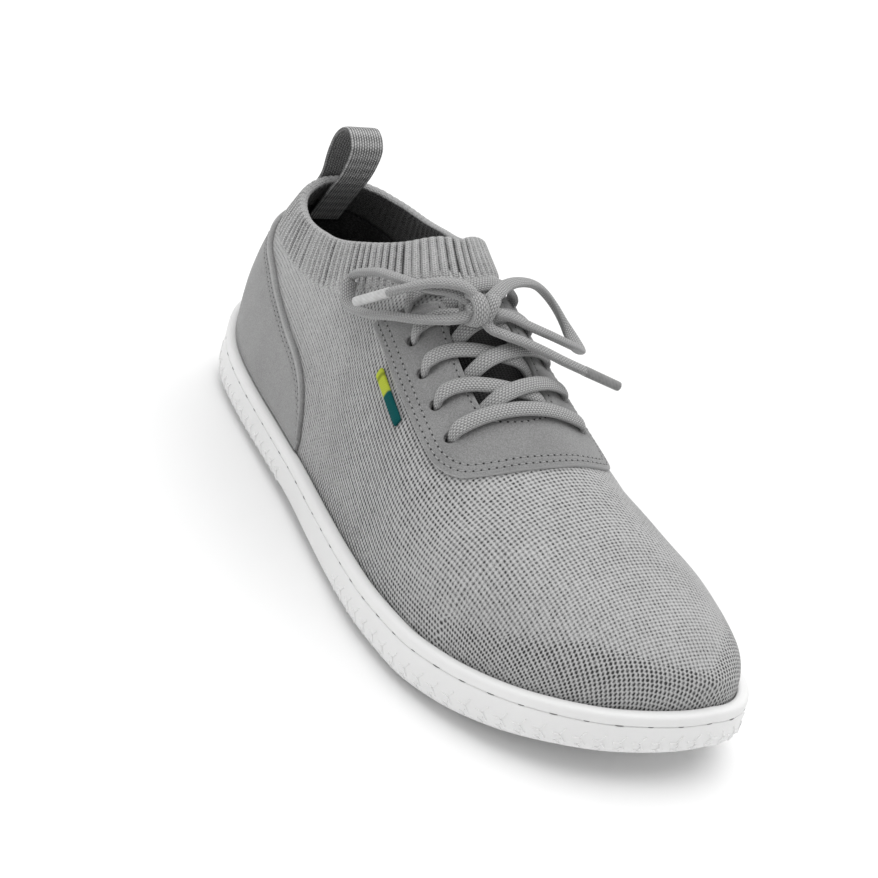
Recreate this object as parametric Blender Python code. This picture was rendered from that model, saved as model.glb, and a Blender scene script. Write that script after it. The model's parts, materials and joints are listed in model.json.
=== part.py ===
"""A right barefoot shoe: knit upper on a white rubber cupsole, empty and standing on its sole.

Toe towards +X, the wearer's inner side towards +Y, up +Z, floor at z = 0. Tables are in millimetres.
A place on the upper is (a, w): a runs from the heel line 0 to the toe tip 1, and w from the outer
edge -1 over the ridge 0 to the inner edge 1. Past 1 it goes straight down inside the sole's cup.
"""

import math

import bmesh
import bpy
import numpy as np

MM = 0.001
LENGTH = 272.0
WALL = 2.0
CUFF_PROUD = 0.7
CUFF_WALL = 2.8
GAP = 0.3
OVERLAY_GAP = 0.4
COUNTER_GAP = 0.5
OVERLAY = 0.9
FOLD_PROUD = 0.5
LIP_WIDTH = 4.4
UPPER_INSET = LIP_WIDTH + GAP
INSOLE_INSET = UPPER_INSET + WALL + 2 * GAP
INSOLE_THICK = 3.0
TONGUE_THICK = 2.2
BULGE = 0.03
DENSE = 1440
LUG_HEIGHT = 1.6
LUG_WIDTH = 6.0
LUG_PITCH = 12.5
LUG_SWEEP = 7.0
LUG_INSET = 9.0
RIB_DEPTH = 0.8
LACE_WIDTH = 5.4
LACE_THICK = 2.8
HOLE_DIAMETER = 4.2
WEBBING_WIDTH = 13.5
WEBBING_THICK = 1.5

# Share of the length, then the outer and inner edge of the sole from the long axis.
OUTLINE = (
    (0.00, 0.0, 0.0),
    (0.02, -17.5, 15.0),
    (0.05, -25.5, 23.0),
    (0.10, -31.5, 29.5),
    (0.20, -36.5, 33.5),
    (0.30, -40.0, 33.5),
    (0.40, -43.5, 33.5),
    (0.50, -48.0, 36.5),
    (0.60, -52.0, 42.5),
    (0.68, -54.0, 47.0),
    (0.75, -53.5, 50.0),
    (0.82, -49.0, 51.0),
    (0.88, -41.0, 48.5),
    (0.93, -30.0, 44.5),
    (0.97, -15.0, 37.0),
    (0.99, 0.0, 29.5),
    (1.00, 17.0, 17.0),
)

# Share of the length, top of the lip, bottom outer edge, flat bottom, cup floor.
SOLE_HEIGHTS = (
    (0.00, 28.0, 10.0, 4.0, 7.0),
    (0.03, 26.0, 6.5, 2.6, 6.6),
    (0.07, 21.5, 3.2, 1.6, 6.4),
    (0.12, 18.6, 1.8, 1.6, 6.4),
    (0.20, 17.2, 1.6, 1.6, 6.4),
    (0.42, 16.6, 2.2, 2.4, 6.6),
    (0.58, 16.6, 1.6, 1.6, 6.4),
    (0.74, 17.4, 1.8, 1.6, 6.6),
    (0.82, 18.8, 3.0, 2.6, 7.6),
    (0.88, 20.6, 5.2, 4.4, 9.4),
    (0.95, 23.6, 9.0, 7.6, 12.6),
    (1.00, 26.4, 12.4, 11.0, 16.0),
)

# Share of the length, ridge height, ridge shift to the inner side, squareness of the outer and inner half.
SECTIONS = (
    (0.00, 114.0, 4.0, 2.4, 2.4),
    (0.05, 116.0, 7.0, 2.5, 2.5),
    (0.12, 117.0, 9.0, 2.5, 2.5),
    (0.22, 116.0, 8.5, 2.4, 2.4),
    (0.32, 111.5, 6.5, 2.2, 2.2),
    (0.40, 104.5, 3.0, 2.1, 2.15),
    (0.46, 97.0, 0.0, 2.05, 2.15),
    (0.54, 86.0, -2.0, 2.05, 2.15),
    (0.62, 74.5, -1.5, 2.1, 2.1),
    (0.70, 64.5, 0.5, 2.15, 2.0),
    (0.78, 56.5, 4.5, 2.3, 2.0),
    (0.86, 50.5, 5.0, 2.35, 2.15),
    (0.93, 44.5, 3.0, 2.3, 2.2),
    (0.98, 38.0, 0.0, 2.2, 2.2),
    (1.00, 33.0, 0.0, 2.1, 2.1),
)

# Height above the floor, how far the heel leans forward there.
HEEL_LEAN = (
    (0.0, 0.0),
    (26.0, 0.0),
    (38.0, 0.8),
    (52.0, 4.0),
    (66.0, 9.5),
    (80.0, 17.0),
    (92.0, 24.0),
    (120.0, 37.0),
)

# Way from heel 0 to front 1, then for the rim and for the cuff's lower edge the share of the length
# and the place w on the outer and on the inner side.
COLLAR = (
    (0.00, 0.000, 0.560, 0.560, 0.000, 0.690, 0.690),
    (0.15, 0.006, 0.570, 0.570, 0.008, 0.700, 0.700),
    (0.30, 0.030, 0.595, 0.590, 0.036, 0.720, 0.715),
    (0.50, 0.130, 0.610, 0.600, 0.145, 0.735, 0.725),
    (0.65, 0.235, 0.565, 0.555, 0.262, 0.690, 0.680),
    (0.80, 0.335, 0.430, 0.415, 0.375, 0.530, 0.515),
    (0.90, 0.388, 0.260, 0.250, 0.436, 0.320, 0.305),
    (1.00, 0.415, 0.000, 0.000, 0.474, 0.000, 0.000),
)

THROAT = (0.500, 0.645)
THROAT_HALF = 0.20
THROAT_MIDDLE = -0.03

# Way round the U, then the outer edge and the throat edge as share of the length and place w.
EYESTAY = (
    (0.00, 0.437, -0.520, 0.492, -0.180),
    (0.10, 0.480, -0.510, 0.515, -0.200),
    (0.22, 0.555, -0.500, 0.565, -0.210),
    (0.34, 0.640, -0.485, 0.618, -0.200),
    (0.40, 0.682, -0.410, 0.634, -0.170),
    (0.45, 0.703, -0.220, 0.641, -0.100),
    (0.50, 0.709, -0.020, 0.643, -0.030),
    (0.55, 0.705, 0.180, 0.641, 0.040),
    (0.60, 0.689, 0.370, 0.634, 0.110),
    (0.66, 0.652, 0.435, 0.618, 0.140),
    (0.78, 0.570, 0.450, 0.565, 0.150),
    (0.90, 0.500, 0.455, 0.515, 0.140),
    (1.00, 0.457, 0.455, 0.492, 0.120),
)

# From the toe up, the share of the length and place w of the punched hole on the outer and inner side.
EYELETS = (
    (0.636, -0.370, 0.643, 0.310),
    (0.592, -0.375, 0.600, 0.315),
    (0.549, -0.380, 0.558, 0.315),
    (0.506, -0.375, 0.516, 0.305),
    (0.466, -0.365, 0.477, 0.295),
)

# Distance along the sole's edge from the heel line, outer side negative, and the panel's top.
COUNTER = (
    (-121.0, 22.0),
    (-117.0, 31.0),
    (-106.0, 41.0),
    (-86.0, 49.0),
    (-64.0, 56.0),
    (-44.0, 62.0),
    (-28.0, 67.0),
    (-14.0, 70.0),
    (-8.0, 71.0),
    (8.0, 71.0),
    (14.0, 62.0),
    (20.0, 51.0),
    (28.0, 46.0),
    (38.0, 42.0),
    (59.0, 38.5),
    (76.0, 36.5),
    (88.0, 32.5),
    (97.0, 28.0),
    (110.0, 20.5),
)


def smooth_rows(xs, ys, at):
    """Cubic through the rows that doesn't overshoot them."""
    xs = np.asarray(xs, float)
    ys = np.asarray(ys, float)
    step = np.diff(xs)
    slope = np.diff(ys) / step
    inner = np.where(slope[:-1] * slope[1:] > 0, slope[:-1] * slope[1:], 0.0)
    weight_a = 2 * step[1:] + step[:-1]
    weight_b = step[1:] + 2 * step[:-1]
    total = weight_a * slope[1:] + weight_b * slope[:-1]
    safe = np.where(np.abs(total) < 1e-12, 1.0, total)
    middle = np.where(inner > 0, (weight_a + weight_b) * inner / safe, 0.0)
    ends = np.concatenate([[slope[0]], middle, [slope[-1]]])
    at = np.clip(at, xs[0], xs[-1])
    i = np.clip(np.searchsorted(xs, at) - 1, 0, len(step) - 1)
    t = (at - xs[i]) / step[i]
    h = step[i]
    return (
        ys[i] * (1 + 2 * t) * (1 - t) ** 2
        + h * ends[i] * t * (1 - t) ** 2
        + ys[i + 1] * t * t * (3 - 2 * t)
        + h * ends[i + 1] * t * t * (t - 1)
    )


def share_of(a):
    return (1 - np.cos(np.pi * np.clip(a, 0, 1))) / 2


def a_of(share):
    return np.arccos(1 - 2 * np.clip(share, 0, 1)) / np.pi


TRACK_A = np.linspace(0, 1, DENSE // 2 + 1)


def track(rows, column):
    """One column of a table over a, at even steps, with its corners softened."""
    knots = a_of(np.array([row[0] for row in rows]))
    values = smooth_rows(knots, [row[column] for row in rows], TRACK_A)
    for _ in range(60):
        padded = np.concatenate([[2 * values[0] - values[1]], values, [2 * values[-1] - values[-2]]])
        values = (padded[:-2] + 2 * values + padded[2:]) / 4
    return values


def reading(values):
    return lambda a: np.interp(a, TRACK_A, values)


outer_edge = track(OUTLINE, 1)
inner_edge = track(OUTLINE, 2)
lip_z = reading(track(SOLE_HEIGHTS, 1))
low_z = reading(track(SOLE_HEIGHTS, 2))
flat_z = reading(track(SOLE_HEIGHTS, 3))
cup_z = reading(track(SOLE_HEIGHTS, 4))
ridge_z = reading(track(SECTIONS, 1))
ridge_shift = reading(track(SECTIONS, 2))
outer_square = reading(track(SECTIONS, 3))
inner_square = reading(track(SECTIONS, 4))


def squareness(a, w):
    """Squareness of the section, its two halves joined softly over the ridge."""
    share = np.clip(0.5 + np.asarray(w) / 0.6, 0, 1)
    share = share * share * (3 - 2 * share)
    return outer_square(a) * (1 - share) + inner_square(a) * share



def closed_plan():
    """The sole's edge as a closed line: outer side from heel to toe, then inner side back."""
    x = LENGTH * (share_of(TRACK_A) - 0.5)
    there = np.stack([x, outer_edge], axis=1)
    back = np.stack([x, inner_edge], axis=1)[::-1]
    points = np.concatenate([there, back[1:-1]])
    for _ in range(40):
        points = (np.roll(points, 1, axis=0) + 2 * points + np.roll(points, -1, axis=0)) / 4
    low = points[:, 0].min()
    high = points[:, 0].max()
    points[:, 0] = LENGTH * ((points[:, 0] - low) / (high - low) - 0.5)
    points[:, 1] -= (points[:, 1].min() + points[:, 1].max()) / 2
    return points


PLAN = closed_plan()


def inset_plan(inset):
    """The edge moved inwards, square to itself."""
    run = np.roll(PLAN, -6, axis=0) - np.roll(PLAN, 6, axis=0)
    run /= np.linalg.norm(run, axis=1)[:, None]
    inwards = np.stack([-run[:, 1], run[:, 0]], axis=1)
    return PLAN + inset * inwards


INSETS = {}


def plan_at(turn, inset):
    """Point on the edge at turn 0 heel, 1 toe, 2 heel again, moved inwards."""
    if inset not in INSETS:
        INSETS[inset] = inset_plan(inset)
    points = INSETS[inset]
    place = np.mod(np.asarray(turn, float), 2.0) * (DENSE / 2)
    around = np.arange(DENSE + 1)
    closed = np.concatenate([points, points[:1]])
    return np.stack([np.interp(place, around, closed[:, 0]), np.interp(place, around, closed[:, 1])], axis=-1)


def surface(a, w):
    """Places on the outside of the upper, in millimetres."""
    a, w = np.broadcast_arrays(np.asarray(a, float), np.asarray(w, float))
    past = (a < 0) | (a > 1)
    w = np.where(past, -w, w)
    a = np.where(a < 0, -a, np.where(a > 1, 2 - a, a))
    outer = plan_at(a, UPPER_INSET)
    inner = plan_at(2 - a, UPPER_INSET)
    base = np.where((w < 0)[..., None], outer, inner)
    top = (outer + inner) / 2
    top[..., 1] += ridge_shift(a)
    angle = np.minimum(np.abs(w), 1) * np.pi / 2
    power = 2 / squareness(a, w)
    out = np.sin(angle) ** power * (1 + BULGE * np.sin(2 * angle) ** 2)
    up = np.cos(angle) ** power
    up = np.where(np.abs(w) >= 1, 0.0, up)
    foot = lip_z(a)
    z = foot + (ridge_z(a) - foot) * up - np.maximum(np.abs(w) - 1, 0) * 100
    place = top + (base - top) * out[..., None]
    fade = np.clip(1 - share_of(a) / 0.36, 0, 1)
    fade = fade * fade * (3 - 2 * fade)
    lean = smooth_rows([row[0] for row in HEEL_LEAN], [row[1] for row in HEEL_LEAN], z)
    return np.stack([place[..., 0] + lean * fade, place[..., 1], z], axis=-1)


def raised(a, w, off):
    """Places at a distance out from the upper's outside, or in from it where off is negative."""
    step = 0.004
    along = surface(a + step, w) - surface(a - step, w)
    across = surface(a, w + step) - surface(a, w - step)
    normal = np.cross(along, across)
    normal /= np.maximum(np.linalg.norm(normal, axis=-1), 1e-12)[..., None]
    return surface(a, w) + np.asarray(off)[..., None] * normal


def w_at_height(a, z, side):
    """Place w, without its sign, where the upper's outer side -1 or inner side 1 reaches a height."""
    foot = lip_z(a)
    share = np.clip((z - foot) / (ridge_z(a) - foot), 0, 1)
    return np.arccos(share ** (squareness(a, side) / 2)) * 2 / np.pi


def collar_lines(way):
    """Rim and lower edge of the cuff as (a, w) for a way from 0 heel over 1 front to 2 heel."""
    inner_side = way > 1
    up = np.where(inner_side, 2 - way, way)
    knots = [row[0] for row in COLLAR]
    found = []
    for column in (1, 4):
        shares = a_of(np.array([row[column] for row in COLLAR]))
        a = smooth_rows(knots, shares, up)
        outer = smooth_rows(knots, [row[column + 1] for row in COLLAR], up)
        inner = smooth_rows(knots, [row[column + 2] for row in COLLAR], up)
        found.append((a, np.where(inner_side, inner, -outer)))
    return found


def material(name, color, roughness):
    made = bpy.data.materials.new(name)
    made.use_nodes = True
    shader = made.node_tree.nodes["Principled BSDF"]
    shader.inputs["Base Color"].default_value = (*color, 1.0)
    shader.inputs["Roughness"].default_value = roughness
    return made


def put(name, points, faces, look, group, smooth=True):
    """An object from places in millimetres, turned to face outwards."""
    mesh = bpy.data.meshes.new(name)
    mesh.from_pydata([tuple(map(float, p)) for p in np.asarray(points) * MM], [], faces)
    body = bmesh.new()
    body.from_mesh(mesh)
    bmesh.ops.remove_doubles(body, verts=body.verts, dist=1e-7)
    if body.calc_volume(signed=True) < 0:
        bmesh.ops.reverse_faces(body, faces=body.faces)
    body.to_mesh(mesh)
    body.free()
    mesh.polygons.foreach_set("use_smooth", [smooth] * len(mesh.polygons))
    made = bpy.data.objects.new(name, mesh)
    if look is not None:
        mesh.materials.append(look)
    group.objects.link(made)
    if group is cutters:
        made.hide_render = True
        made.display_type = "WIRE"
    return made


def combine(body, other, operation):
    step = body.modifiers.new(other.name, "BOOLEAN")
    step.operation = operation
    step.solver = "EXACT"
    step.object = other
    return step


def thick(places, faces, outside, inside):
    """Solid between two offsets of one sheet, closed along the sheet's open edges."""
    a = np.array([p[0] for p in places])
    w = np.array([p[1] for p in places])
    points = np.concatenate([raised(a, w, outside * np.ones(len(a))), raised(a, w, inside * np.ones(len(a)))])
    count = len(places)
    seen = {}
    for face in faces:
        for one, two in zip(face, face[1:] + face[:1]):
            seen[(one, two)] = True
    made = list(faces)
    made += [tuple(count + i for i in reversed(face)) for face in faces]
    for one, two in seen:
        if (two, one) not in seen:
            made.append((two, one, count + one, count + two))
    return points, made


def grid_faces(rows, columns, closed=False):
    faces = []
    for i in range(rows - 1):
        for j in range(columns if closed else columns - 1):
            k = (j + 1) % columns
            faces.append((i * columns + j, i * columns + k, (i + 1) * columns + k, (i + 1) * columns + j))
    return faces


def loops_solid(loops):
    """Solid from closed loops of equal count, its first and last loop closed by strips across."""
    count = len(loops[0])
    points = np.concatenate(loops)
    faces = grid_faces(len(loops), count, closed=True)
    half = count // 2
    for base, turn in ((0, 1), (len(loops) * count - count, -1)):
        for i in range(half):
            one, two = base + i, base + (i + 1)
            three, four = base + (count - i - 1) % count, base + (count - i) % count
            face = [one, two, three, four] if i else [one, two, three]
            if i == half - 1:
                face = [one, two, four]
            faces.append(tuple(face[::-turn]))
    return points, faces


def tube(points, ups, width, height, sides):
    """Closed tube of an oval section round a line."""
    points = np.asarray(points, float)
    run = np.gradient(points, axis=0)
    run /= np.linalg.norm(run, axis=1)[:, None]
    ups = np.asarray(ups, float)
    ups = ups - (ups * run).sum(axis=1)[:, None] * run
    ups /= np.linalg.norm(ups, axis=1)[:, None]
    sideways = np.cross(run, ups)
    turn = np.arange(sides) * 2 * np.pi / sides
    rings = (
        points[:, None]
        + np.cos(turn)[None, :, None] * sideways[:, None] * width / 2
        + np.sin(turn)[None, :, None] * ups[:, None] * height / 2
    )
    faces = grid_faces(len(points), sides, closed=True)
    faces.append(tuple(range(sides))[::-1])
    faces.append(tuple(range((len(points) - 1) * sides, len(points) * sides)))
    return rings.reshape(-1, 3), faces


def smooth_line(points, count):
    """Even points along a soft curve through the given ones."""
    points = np.asarray(points, float)
    way = np.concatenate([[0], np.cumsum(np.linalg.norm(np.diff(points, axis=0), axis=1))])
    fine = np.linspace(0, way[-1], 400)
    slope = np.gradient(points, way, axis=0)
    i = np.clip(np.searchsorted(way, fine) - 1, 0, len(way) - 2)
    h = (way[i + 1] - way[i])[:, None]
    t = ((fine - way[i]) / h[:, 0])[:, None]
    line = (
        points[i] * (1 + 2 * t) * (1 - t) ** 2
        + h * slope[i] * t * (1 - t) ** 2
        + points[i + 1] * t * t * (3 - 2 * t)
        + h * slope[i + 1] * t * t * (t - 1)
    )
    along = np.concatenate([[0], np.cumsum(np.linalg.norm(np.diff(line, axis=0), axis=1))])
    even = np.linspace(0, along[-1], count)
    return np.stack([np.interp(even, along, line[:, k]) for k in range(3)], axis=1)


for old in list(bpy.data.objects):
    bpy.data.objects.remove(old, do_unlink=True)

shoe = bpy.data.collections.new("barefoot_shoe")
cutters = bpy.data.collections.new("cutters")
bpy.context.scene.collection.children.link(shoe)
bpy.context.scene.collection.children.link(cutters)

rubber_white = material("rubber_white", (0.86, 0.86, 0.85), 0.5)
knit_grey = material("knit_grey", (0.22, 0.22, 0.22), 0.9)
knit_dark = material("knit_dark", (0.07, 0.07, 0.07), 0.9)
microfibre_grey = material("microfibre_grey", (0.18, 0.18, 0.18), 0.8)
webbing_grey = material("webbing_grey", (0.2, 0.2, 0.2), 0.8)
lace_grey = material("lace_grey", (0.3, 0.3, 0.3), 0.8)
aglet_grey = material("aglet_grey", (0.3, 0.3, 0.3), 0.4)
ribbon_teal = material("ribbon_teal", (0.02, 0.2, 0.2), 0.7)

# The sole: loops round its edge from the bottom over the wall and the lip into the cup.
SOLE_POINTS = 100
turns = np.arange(SOLE_POINTS) * 2.0 / SOLE_POINTS
folded = np.where(turns > 1, 2 - turns, turns)
shares = share_of(folded)
inner_turn = turns > 1
ribbed = (shares < 0.36) | (shares > 0.62)
odd = (np.arange(SOLE_POINTS) % 2 == 1) & ribbed


def sole_loop(inset, z, notch=0.0):
    place = plan_at(turns, inset)
    deeper = plan_at(turns, inset + RIB_DEPTH)
    share = (notch * odd)[:, None]
    place = place * (1 - share) + deeper * share
    return np.concatenate([place, np.asarray(z)[:, None]], axis=1)


arch = np.where(inner_turn, 1.0, 0.35) * 1.6 * np.exp(-(((shares - 0.42) / 0.1) ** 2))
lip = lip_z(folded)
low = low_z(folded)
flat = flat_z(folded)
cup = cup_z(folded)
lower_wall = np.minimum(low + 4.0, lip - 7.0)
sole_loops = [
    sole_loop(18.0, flat + arch * 0.4),
    sole_loop(6.0, flat + arch * 0.8),
    sole_loop(2.4, low + arch, 1.0),
    sole_loop(0.5, low + 2.0 + arch * 0.5, 1.0),
    sole_loop(0.0, lower_wall, 1.0),
    sole_loop(0.8, lip - 5.2, 1.0),
    sole_loop(0.3, lip - 4.7),
    sole_loop(0.6, lip - 1.0),
    sole_loop(1.8, lip),
    sole_loop(LIP_WIDTH - 0.4, lip - 0.2),
    sole_loop(LIP_WIDTH, lip - 1.0),
    sole_loop(LIP_WIDTH, cup),
]
points, faces = loops_solid(sole_loops)
sole = put("sole", points, faces, rubber_white, shoe)


def bottom_at(x):
    return flat_z(a_of(x / LENGTH + 0.5))


def lug(number, x_mid, left, right, sweep):
    """One chevron of the tread, its underside following the bottom."""
    y_mid = (left + right) / 2
    half = LUG_WIDTH / 2
    line = ((left, -sweep), (y_mid, 0.0), (right, -sweep))
    points = []
    for side in (-half, half):
        for y, back in line:
            x = x_mid + back + side
            for z in (-LUG_HEIGHT, 1.4):
                points.append((x, y, bottom_at(x) + z))
    faces = []
    for k in (0, 2):
        faces.append((k, k + 2, k + 8, k + 6))
        faces.append((k + 1, k + 7, k + 9, k + 3))
        faces.append((k, k + 1, k + 3, k + 2))
        faces.append((k + 6, k + 8, k + 9, k + 7))
    faces.append((0, 6, 7, 1))
    faces.append((4, 5, 11, 10))
    made = put(f"lug_{number}", points, faces, None, cutters, smooth=False)
    combine(sole, made, "UNION")


lug_number = 0
for first, last in ((0.10, 0.31), (0.56, 0.86)):
    x = LENGTH * (first - 0.5)
    while x <= LENGTH * (last - 0.5):
        ends = a_of(np.array((x - LUG_SWEEP - LUG_WIDTH / 2) / LENGTH + 0.5))
        outer = plan_at(ends, LUG_INSET)
        inner = plan_at(2 - ends, LUG_INSET)
        lug(lug_number, x, outer[1], inner[1], LUG_SWEEP)
        lug_number += 1
        x += LUG_PITCH

# The insole lies in the cup, inside the upper.
INSOLE_POINTS = 48
turns = np.arange(INSOLE_POINTS) * 2.0 / INSOLE_POINTS
folded = np.where(turns > 1, 2 - turns, turns)
insole_floor = cup_z(folded) + GAP


def insole_loop(inset, z):
    return np.concatenate([plan_at(turns, inset), np.asarray(z)[:, None]], axis=1)


points, faces = loops_solid(
    [
        insole_loop(INSOLE_INSET + 0.4, insole_floor),
        insole_loop(INSOLE_INSET, insole_floor + 0.6),
        insole_loop(INSOLE_INSET, insole_floor + INSOLE_THICK - 0.6),
        insole_loop(INSOLE_INSET + 0.8, insole_floor + INSOLE_THICK),
    ]
)
insole = put("insole", points, faces, knit_dark, shoe)

# The upper's knit body: a sheet on the last, open at the collar, at the throat and underneath.
way = np.linspace(0, 1, 61)
(rim_a, rim_w), (edge_a, edge_w) = collar_lines(way)
(_, rim_w_in), (_, edge_w_in) = collar_lines(2 - way)
body_a = (rim_a + edge_a) / 2
body_out = -(rim_w + edge_w) / 2
body_in = (rim_w_in + edge_w_in) / 2
BODY_FRONT = float(body_a[-1])
THROAT_A = (float(a_of(THROAT[0])), float(a_of(THROAT[1])))


def throat_half(a):
    share = np.clip((a - THROAT_A[0]) / (THROAT_A[1] - THROAT_A[0]), 0, 1)
    return THROAT_HALF * np.clip(4 * share * (1 - share), 0, 1) ** 0.22 * ((share > 0) & (share < 1))


def top_of_side(a, inner_side):
    if a < BODY_FRONT:
        return float(np.interp(a, body_a, body_in if inner_side else body_out))
    half = float(throat_half(a))
    shift = THROAT_MIDDLE * half / THROAT_HALF
    return half + shift if inner_side else half - shift


stations = np.concatenate(
    [
        np.linspace(0, 0.36, 10)[:-1],
        0.36 + (BODY_FRONT - 0.36) * np.sin(np.linspace(0, np.pi / 2, 8)),
        THROAT_A[0] + (THROAT_A[1] - THROAT_A[0]) * (1 - np.cos(np.linspace(0, np.pi, 9))) / 2,
        np.linspace(THROAT_A[1], 1, 12)[1:],
    ]
)
SIDE_ROWS = 8
places = []
index = {}
for i, a in enumerate(stations):
    skirt = 1 + (lip_z(a) - cup_z(a) - 0.4) / 100
    for inner_side in (False, True):
        top = top_of_side(a, inner_side)
        levels = np.concatenate([[skirt], 1 - (1 - top) * np.linspace(0, 1, SIDE_ROWS) ** 0.85])
        for j, w in enumerate(levels):
            last = j == len(levels) - 1
            ends = i in (0, len(stations) - 1)
            if inner_side and (ends or (last and top == 0)):
                index[(i, j, True)] = index[(i, j, False)]
                continue
            index[(i, j, inner_side)] = len(places)
            places.append((a, w if inner_side else -w))
faces = []
for i in range(len(stations) - 1):
    for j in range(SIDE_ROWS):
        for inner_side in (False, True):
            ring = [index[(i, j, inner_side)], index[(i + 1, j, inner_side)]]
            ring += [index[(i + 1, j + 1, inner_side)], index[(i, j + 1, inner_side)]]
            if inner_side:
                ring = ring[::-1]
            faces.append(tuple(ring))
points, faces = thick(places, faces, 0.0, -WALL)
upper = put("upper", points, faces, knit_grey, shoe)

# The ribbed cuff is a step in the wall: a ring between the rim and its lower edge.
CUFF_POINTS = 60
way = np.arange(CUFF_POINTS) * 2.0 / CUFF_POINTS
(rim_a, rim_w), (edge_a, edge_w) = collar_lines(way)
places = []
for share in (0.0, 0.06, 0.5, 1.0):
    for k in range(CUFF_POINTS):
        a = edge_a[k] + (rim_a[k] - edge_a[k]) * share
        w = edge_w[k] + (rim_w[k] - edge_w[k]) * share
        places.append((a, w))
points, faces = thick(places, grid_faces(4, CUFF_POINTS, closed=True), CUFF_PROUD, -CUFF_WALL)
cuff = put("cuff_ring", points, faces, None, cutters)
combine(upper, cuff, "UNION")

# The tongue lies under the throat, its front end sunk a little, its back end under the cuff's front.
TONGUE_ROWS = 11
TONGUE_COLUMNS = 5
tongue_a = np.linspace(float(a_of(0.452)), float(a_of(0.672)), TONGUE_ROWS)
places = []
sunk = []
for k, a in enumerate(tongue_a):
    share = k / (TONGUE_ROWS - 1)
    half = 0.30 - 0.06 * share
    for j in range(TONGUE_COLUMNS):
        across = -1 + 2 * j / (TONGUE_COLUMNS - 1)
        places.append((a, THROAT_MIDDLE + half * across))
        sunk.append(CUFF_WALL + 2 * GAP + 1.6 * math.sin(math.pi * share) * (1 - across * across))
sunk = np.array(sunk)
points, faces = thick(places, grid_faces(TONGUE_ROWS, TONGUE_COLUMNS), -sunk, -sunk - TONGUE_THICK)
tongue = put("tongue", points, faces, knit_dark, shoe)

# The eyestay: one U round the throat, between its outer edge and its throat edge.
EYESTAY_POINTS = 41
EYESTAY_ACROSS = (0.0, 0.1, 0.4, 0.7, 1.0)
knots = [row[0] for row in EYESTAY]
way = np.linspace(0, 1, EYESTAY_POINTS)


def eyestay_line(column, shares=False):
    values = [a_of(row[column]) if shares else row[column] for row in EYESTAY]
    return smooth_rows(knots, values, way)


stay_outer = (eyestay_line(1, True), eyestay_line(2))
stay_throat = (eyestay_line(3, True), eyestay_line(4))
places = []
for k in range(EYESTAY_POINTS):
    for across in EYESTAY_ACROSS:
        a = stay_outer[0][k] + (stay_throat[0][k] - stay_outer[0][k]) * across
        w = stay_outer[1][k] + (stay_throat[1][k] - stay_outer[1][k]) * across
        places.append((a, w))
rounded = [0.25 if across in (0.0, 1.0) else 0.0 for across in EYESTAY_ACROSS]
outside = OVERLAY_GAP + OVERLAY - np.tile(rounded, EYESTAY_POINTS)
points, faces = thick(places, grid_faces(EYESTAY_POINTS, len(EYESTAY_ACROSS)), outside, OVERLAY_GAP)
eyestay = put("eyestay", points, faces, microfibre_grey, shoe)

# The punched holes go through the eyestay and the knit under it.
for k, row in enumerate(EYELETS):
    for side in (0, 1):
        a = float(a_of(row[2 * side]))
        w = row[2 * side + 1]
        low = raised(np.array([a]), np.array([w]), np.array([-5.0]))[0]
        high = raised(np.array([a]), np.array([w]), np.array([5.0]))[0]
        points, faces = tube([low, high], [[1, 0, 0.3], [1, 0, 0.3]], HOLE_DIAMETER, HOLE_DIAMETER, 8)
        hole = put(f"hole_{k}_{side}", points, faces, None, cutters)
        combine(eyestay, hole, "DIFFERENCE")
        combine(upper, hole, "DIFFERENCE")

# The heel counter wraps the heel from its short outer end to its long inner end.
COUNTER_POINTS = 44
COUNTER_ROWS = ((0.0, 0), (0.22, 0), (0.5, 0), (0.84, 0), (0.89, 1), (1.0, 1))
plan_way = np.concatenate([[0], np.cumsum(np.linalg.norm(np.diff(np.concatenate([PLAN, PLAN[:1]]), axis=0), axis=1))])
distance = np.linspace(COUNTER[0][0], COUNTER[-1][0], COUNTER_POINTS)
counter_top = smooth_rows([row[0] for row in COUNTER], [row[1] for row in COUNTER], distance)
# The outer side counts up from the heel line, and the inner side counts down from a whole turn.
counter_turn = np.interp(np.mod(-distance, plan_way[-1]), plan_way, np.arange(DENSE + 1) * 2.0 / DENSE)
counter_a = np.where(counter_turn > 1, 2 - counter_turn, counter_turn)
counter_side = np.where(distance < 0, -1.0, 1.0)
places = []
outside = []
for k in range(COUNTER_POINTS):
    a = counter_a[k]
    top = float(w_at_height(a, counter_top[k], counter_side[k]))
    foot = float(w_at_height(a, lip_z(a) + 0.8, counter_side[k]))
    end = 0 if k in (0, COUNTER_POINTS - 1) else FOLD_PROUD
    for share, proud in COUNTER_ROWS:
        places.append((a, counter_side[k] * (foot + (top - foot) * share)))
        outside.append(COUNTER_GAP + OVERLAY + proud * end)
points, faces = thick(places, grid_faces(COUNTER_POINTS, len(COUNTER_ROWS)), np.array(outside), COUNTER_GAP)
heel_counter = put("heel_counter", points, faces, microfibre_grey, shoe)

# The pull loop: webbing from the outside of the heel, over, and down inside the collar.
heel_rim = surface(np.array([0.0]), np.array([-COLLAR[0][2]]))[0]


def heel_back(z, off):
    w = w_at_height(np.array([0.0]), np.array([z]), -1.0)
    return raised(np.array([0.0]), -w, np.array([off]))[0]


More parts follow.
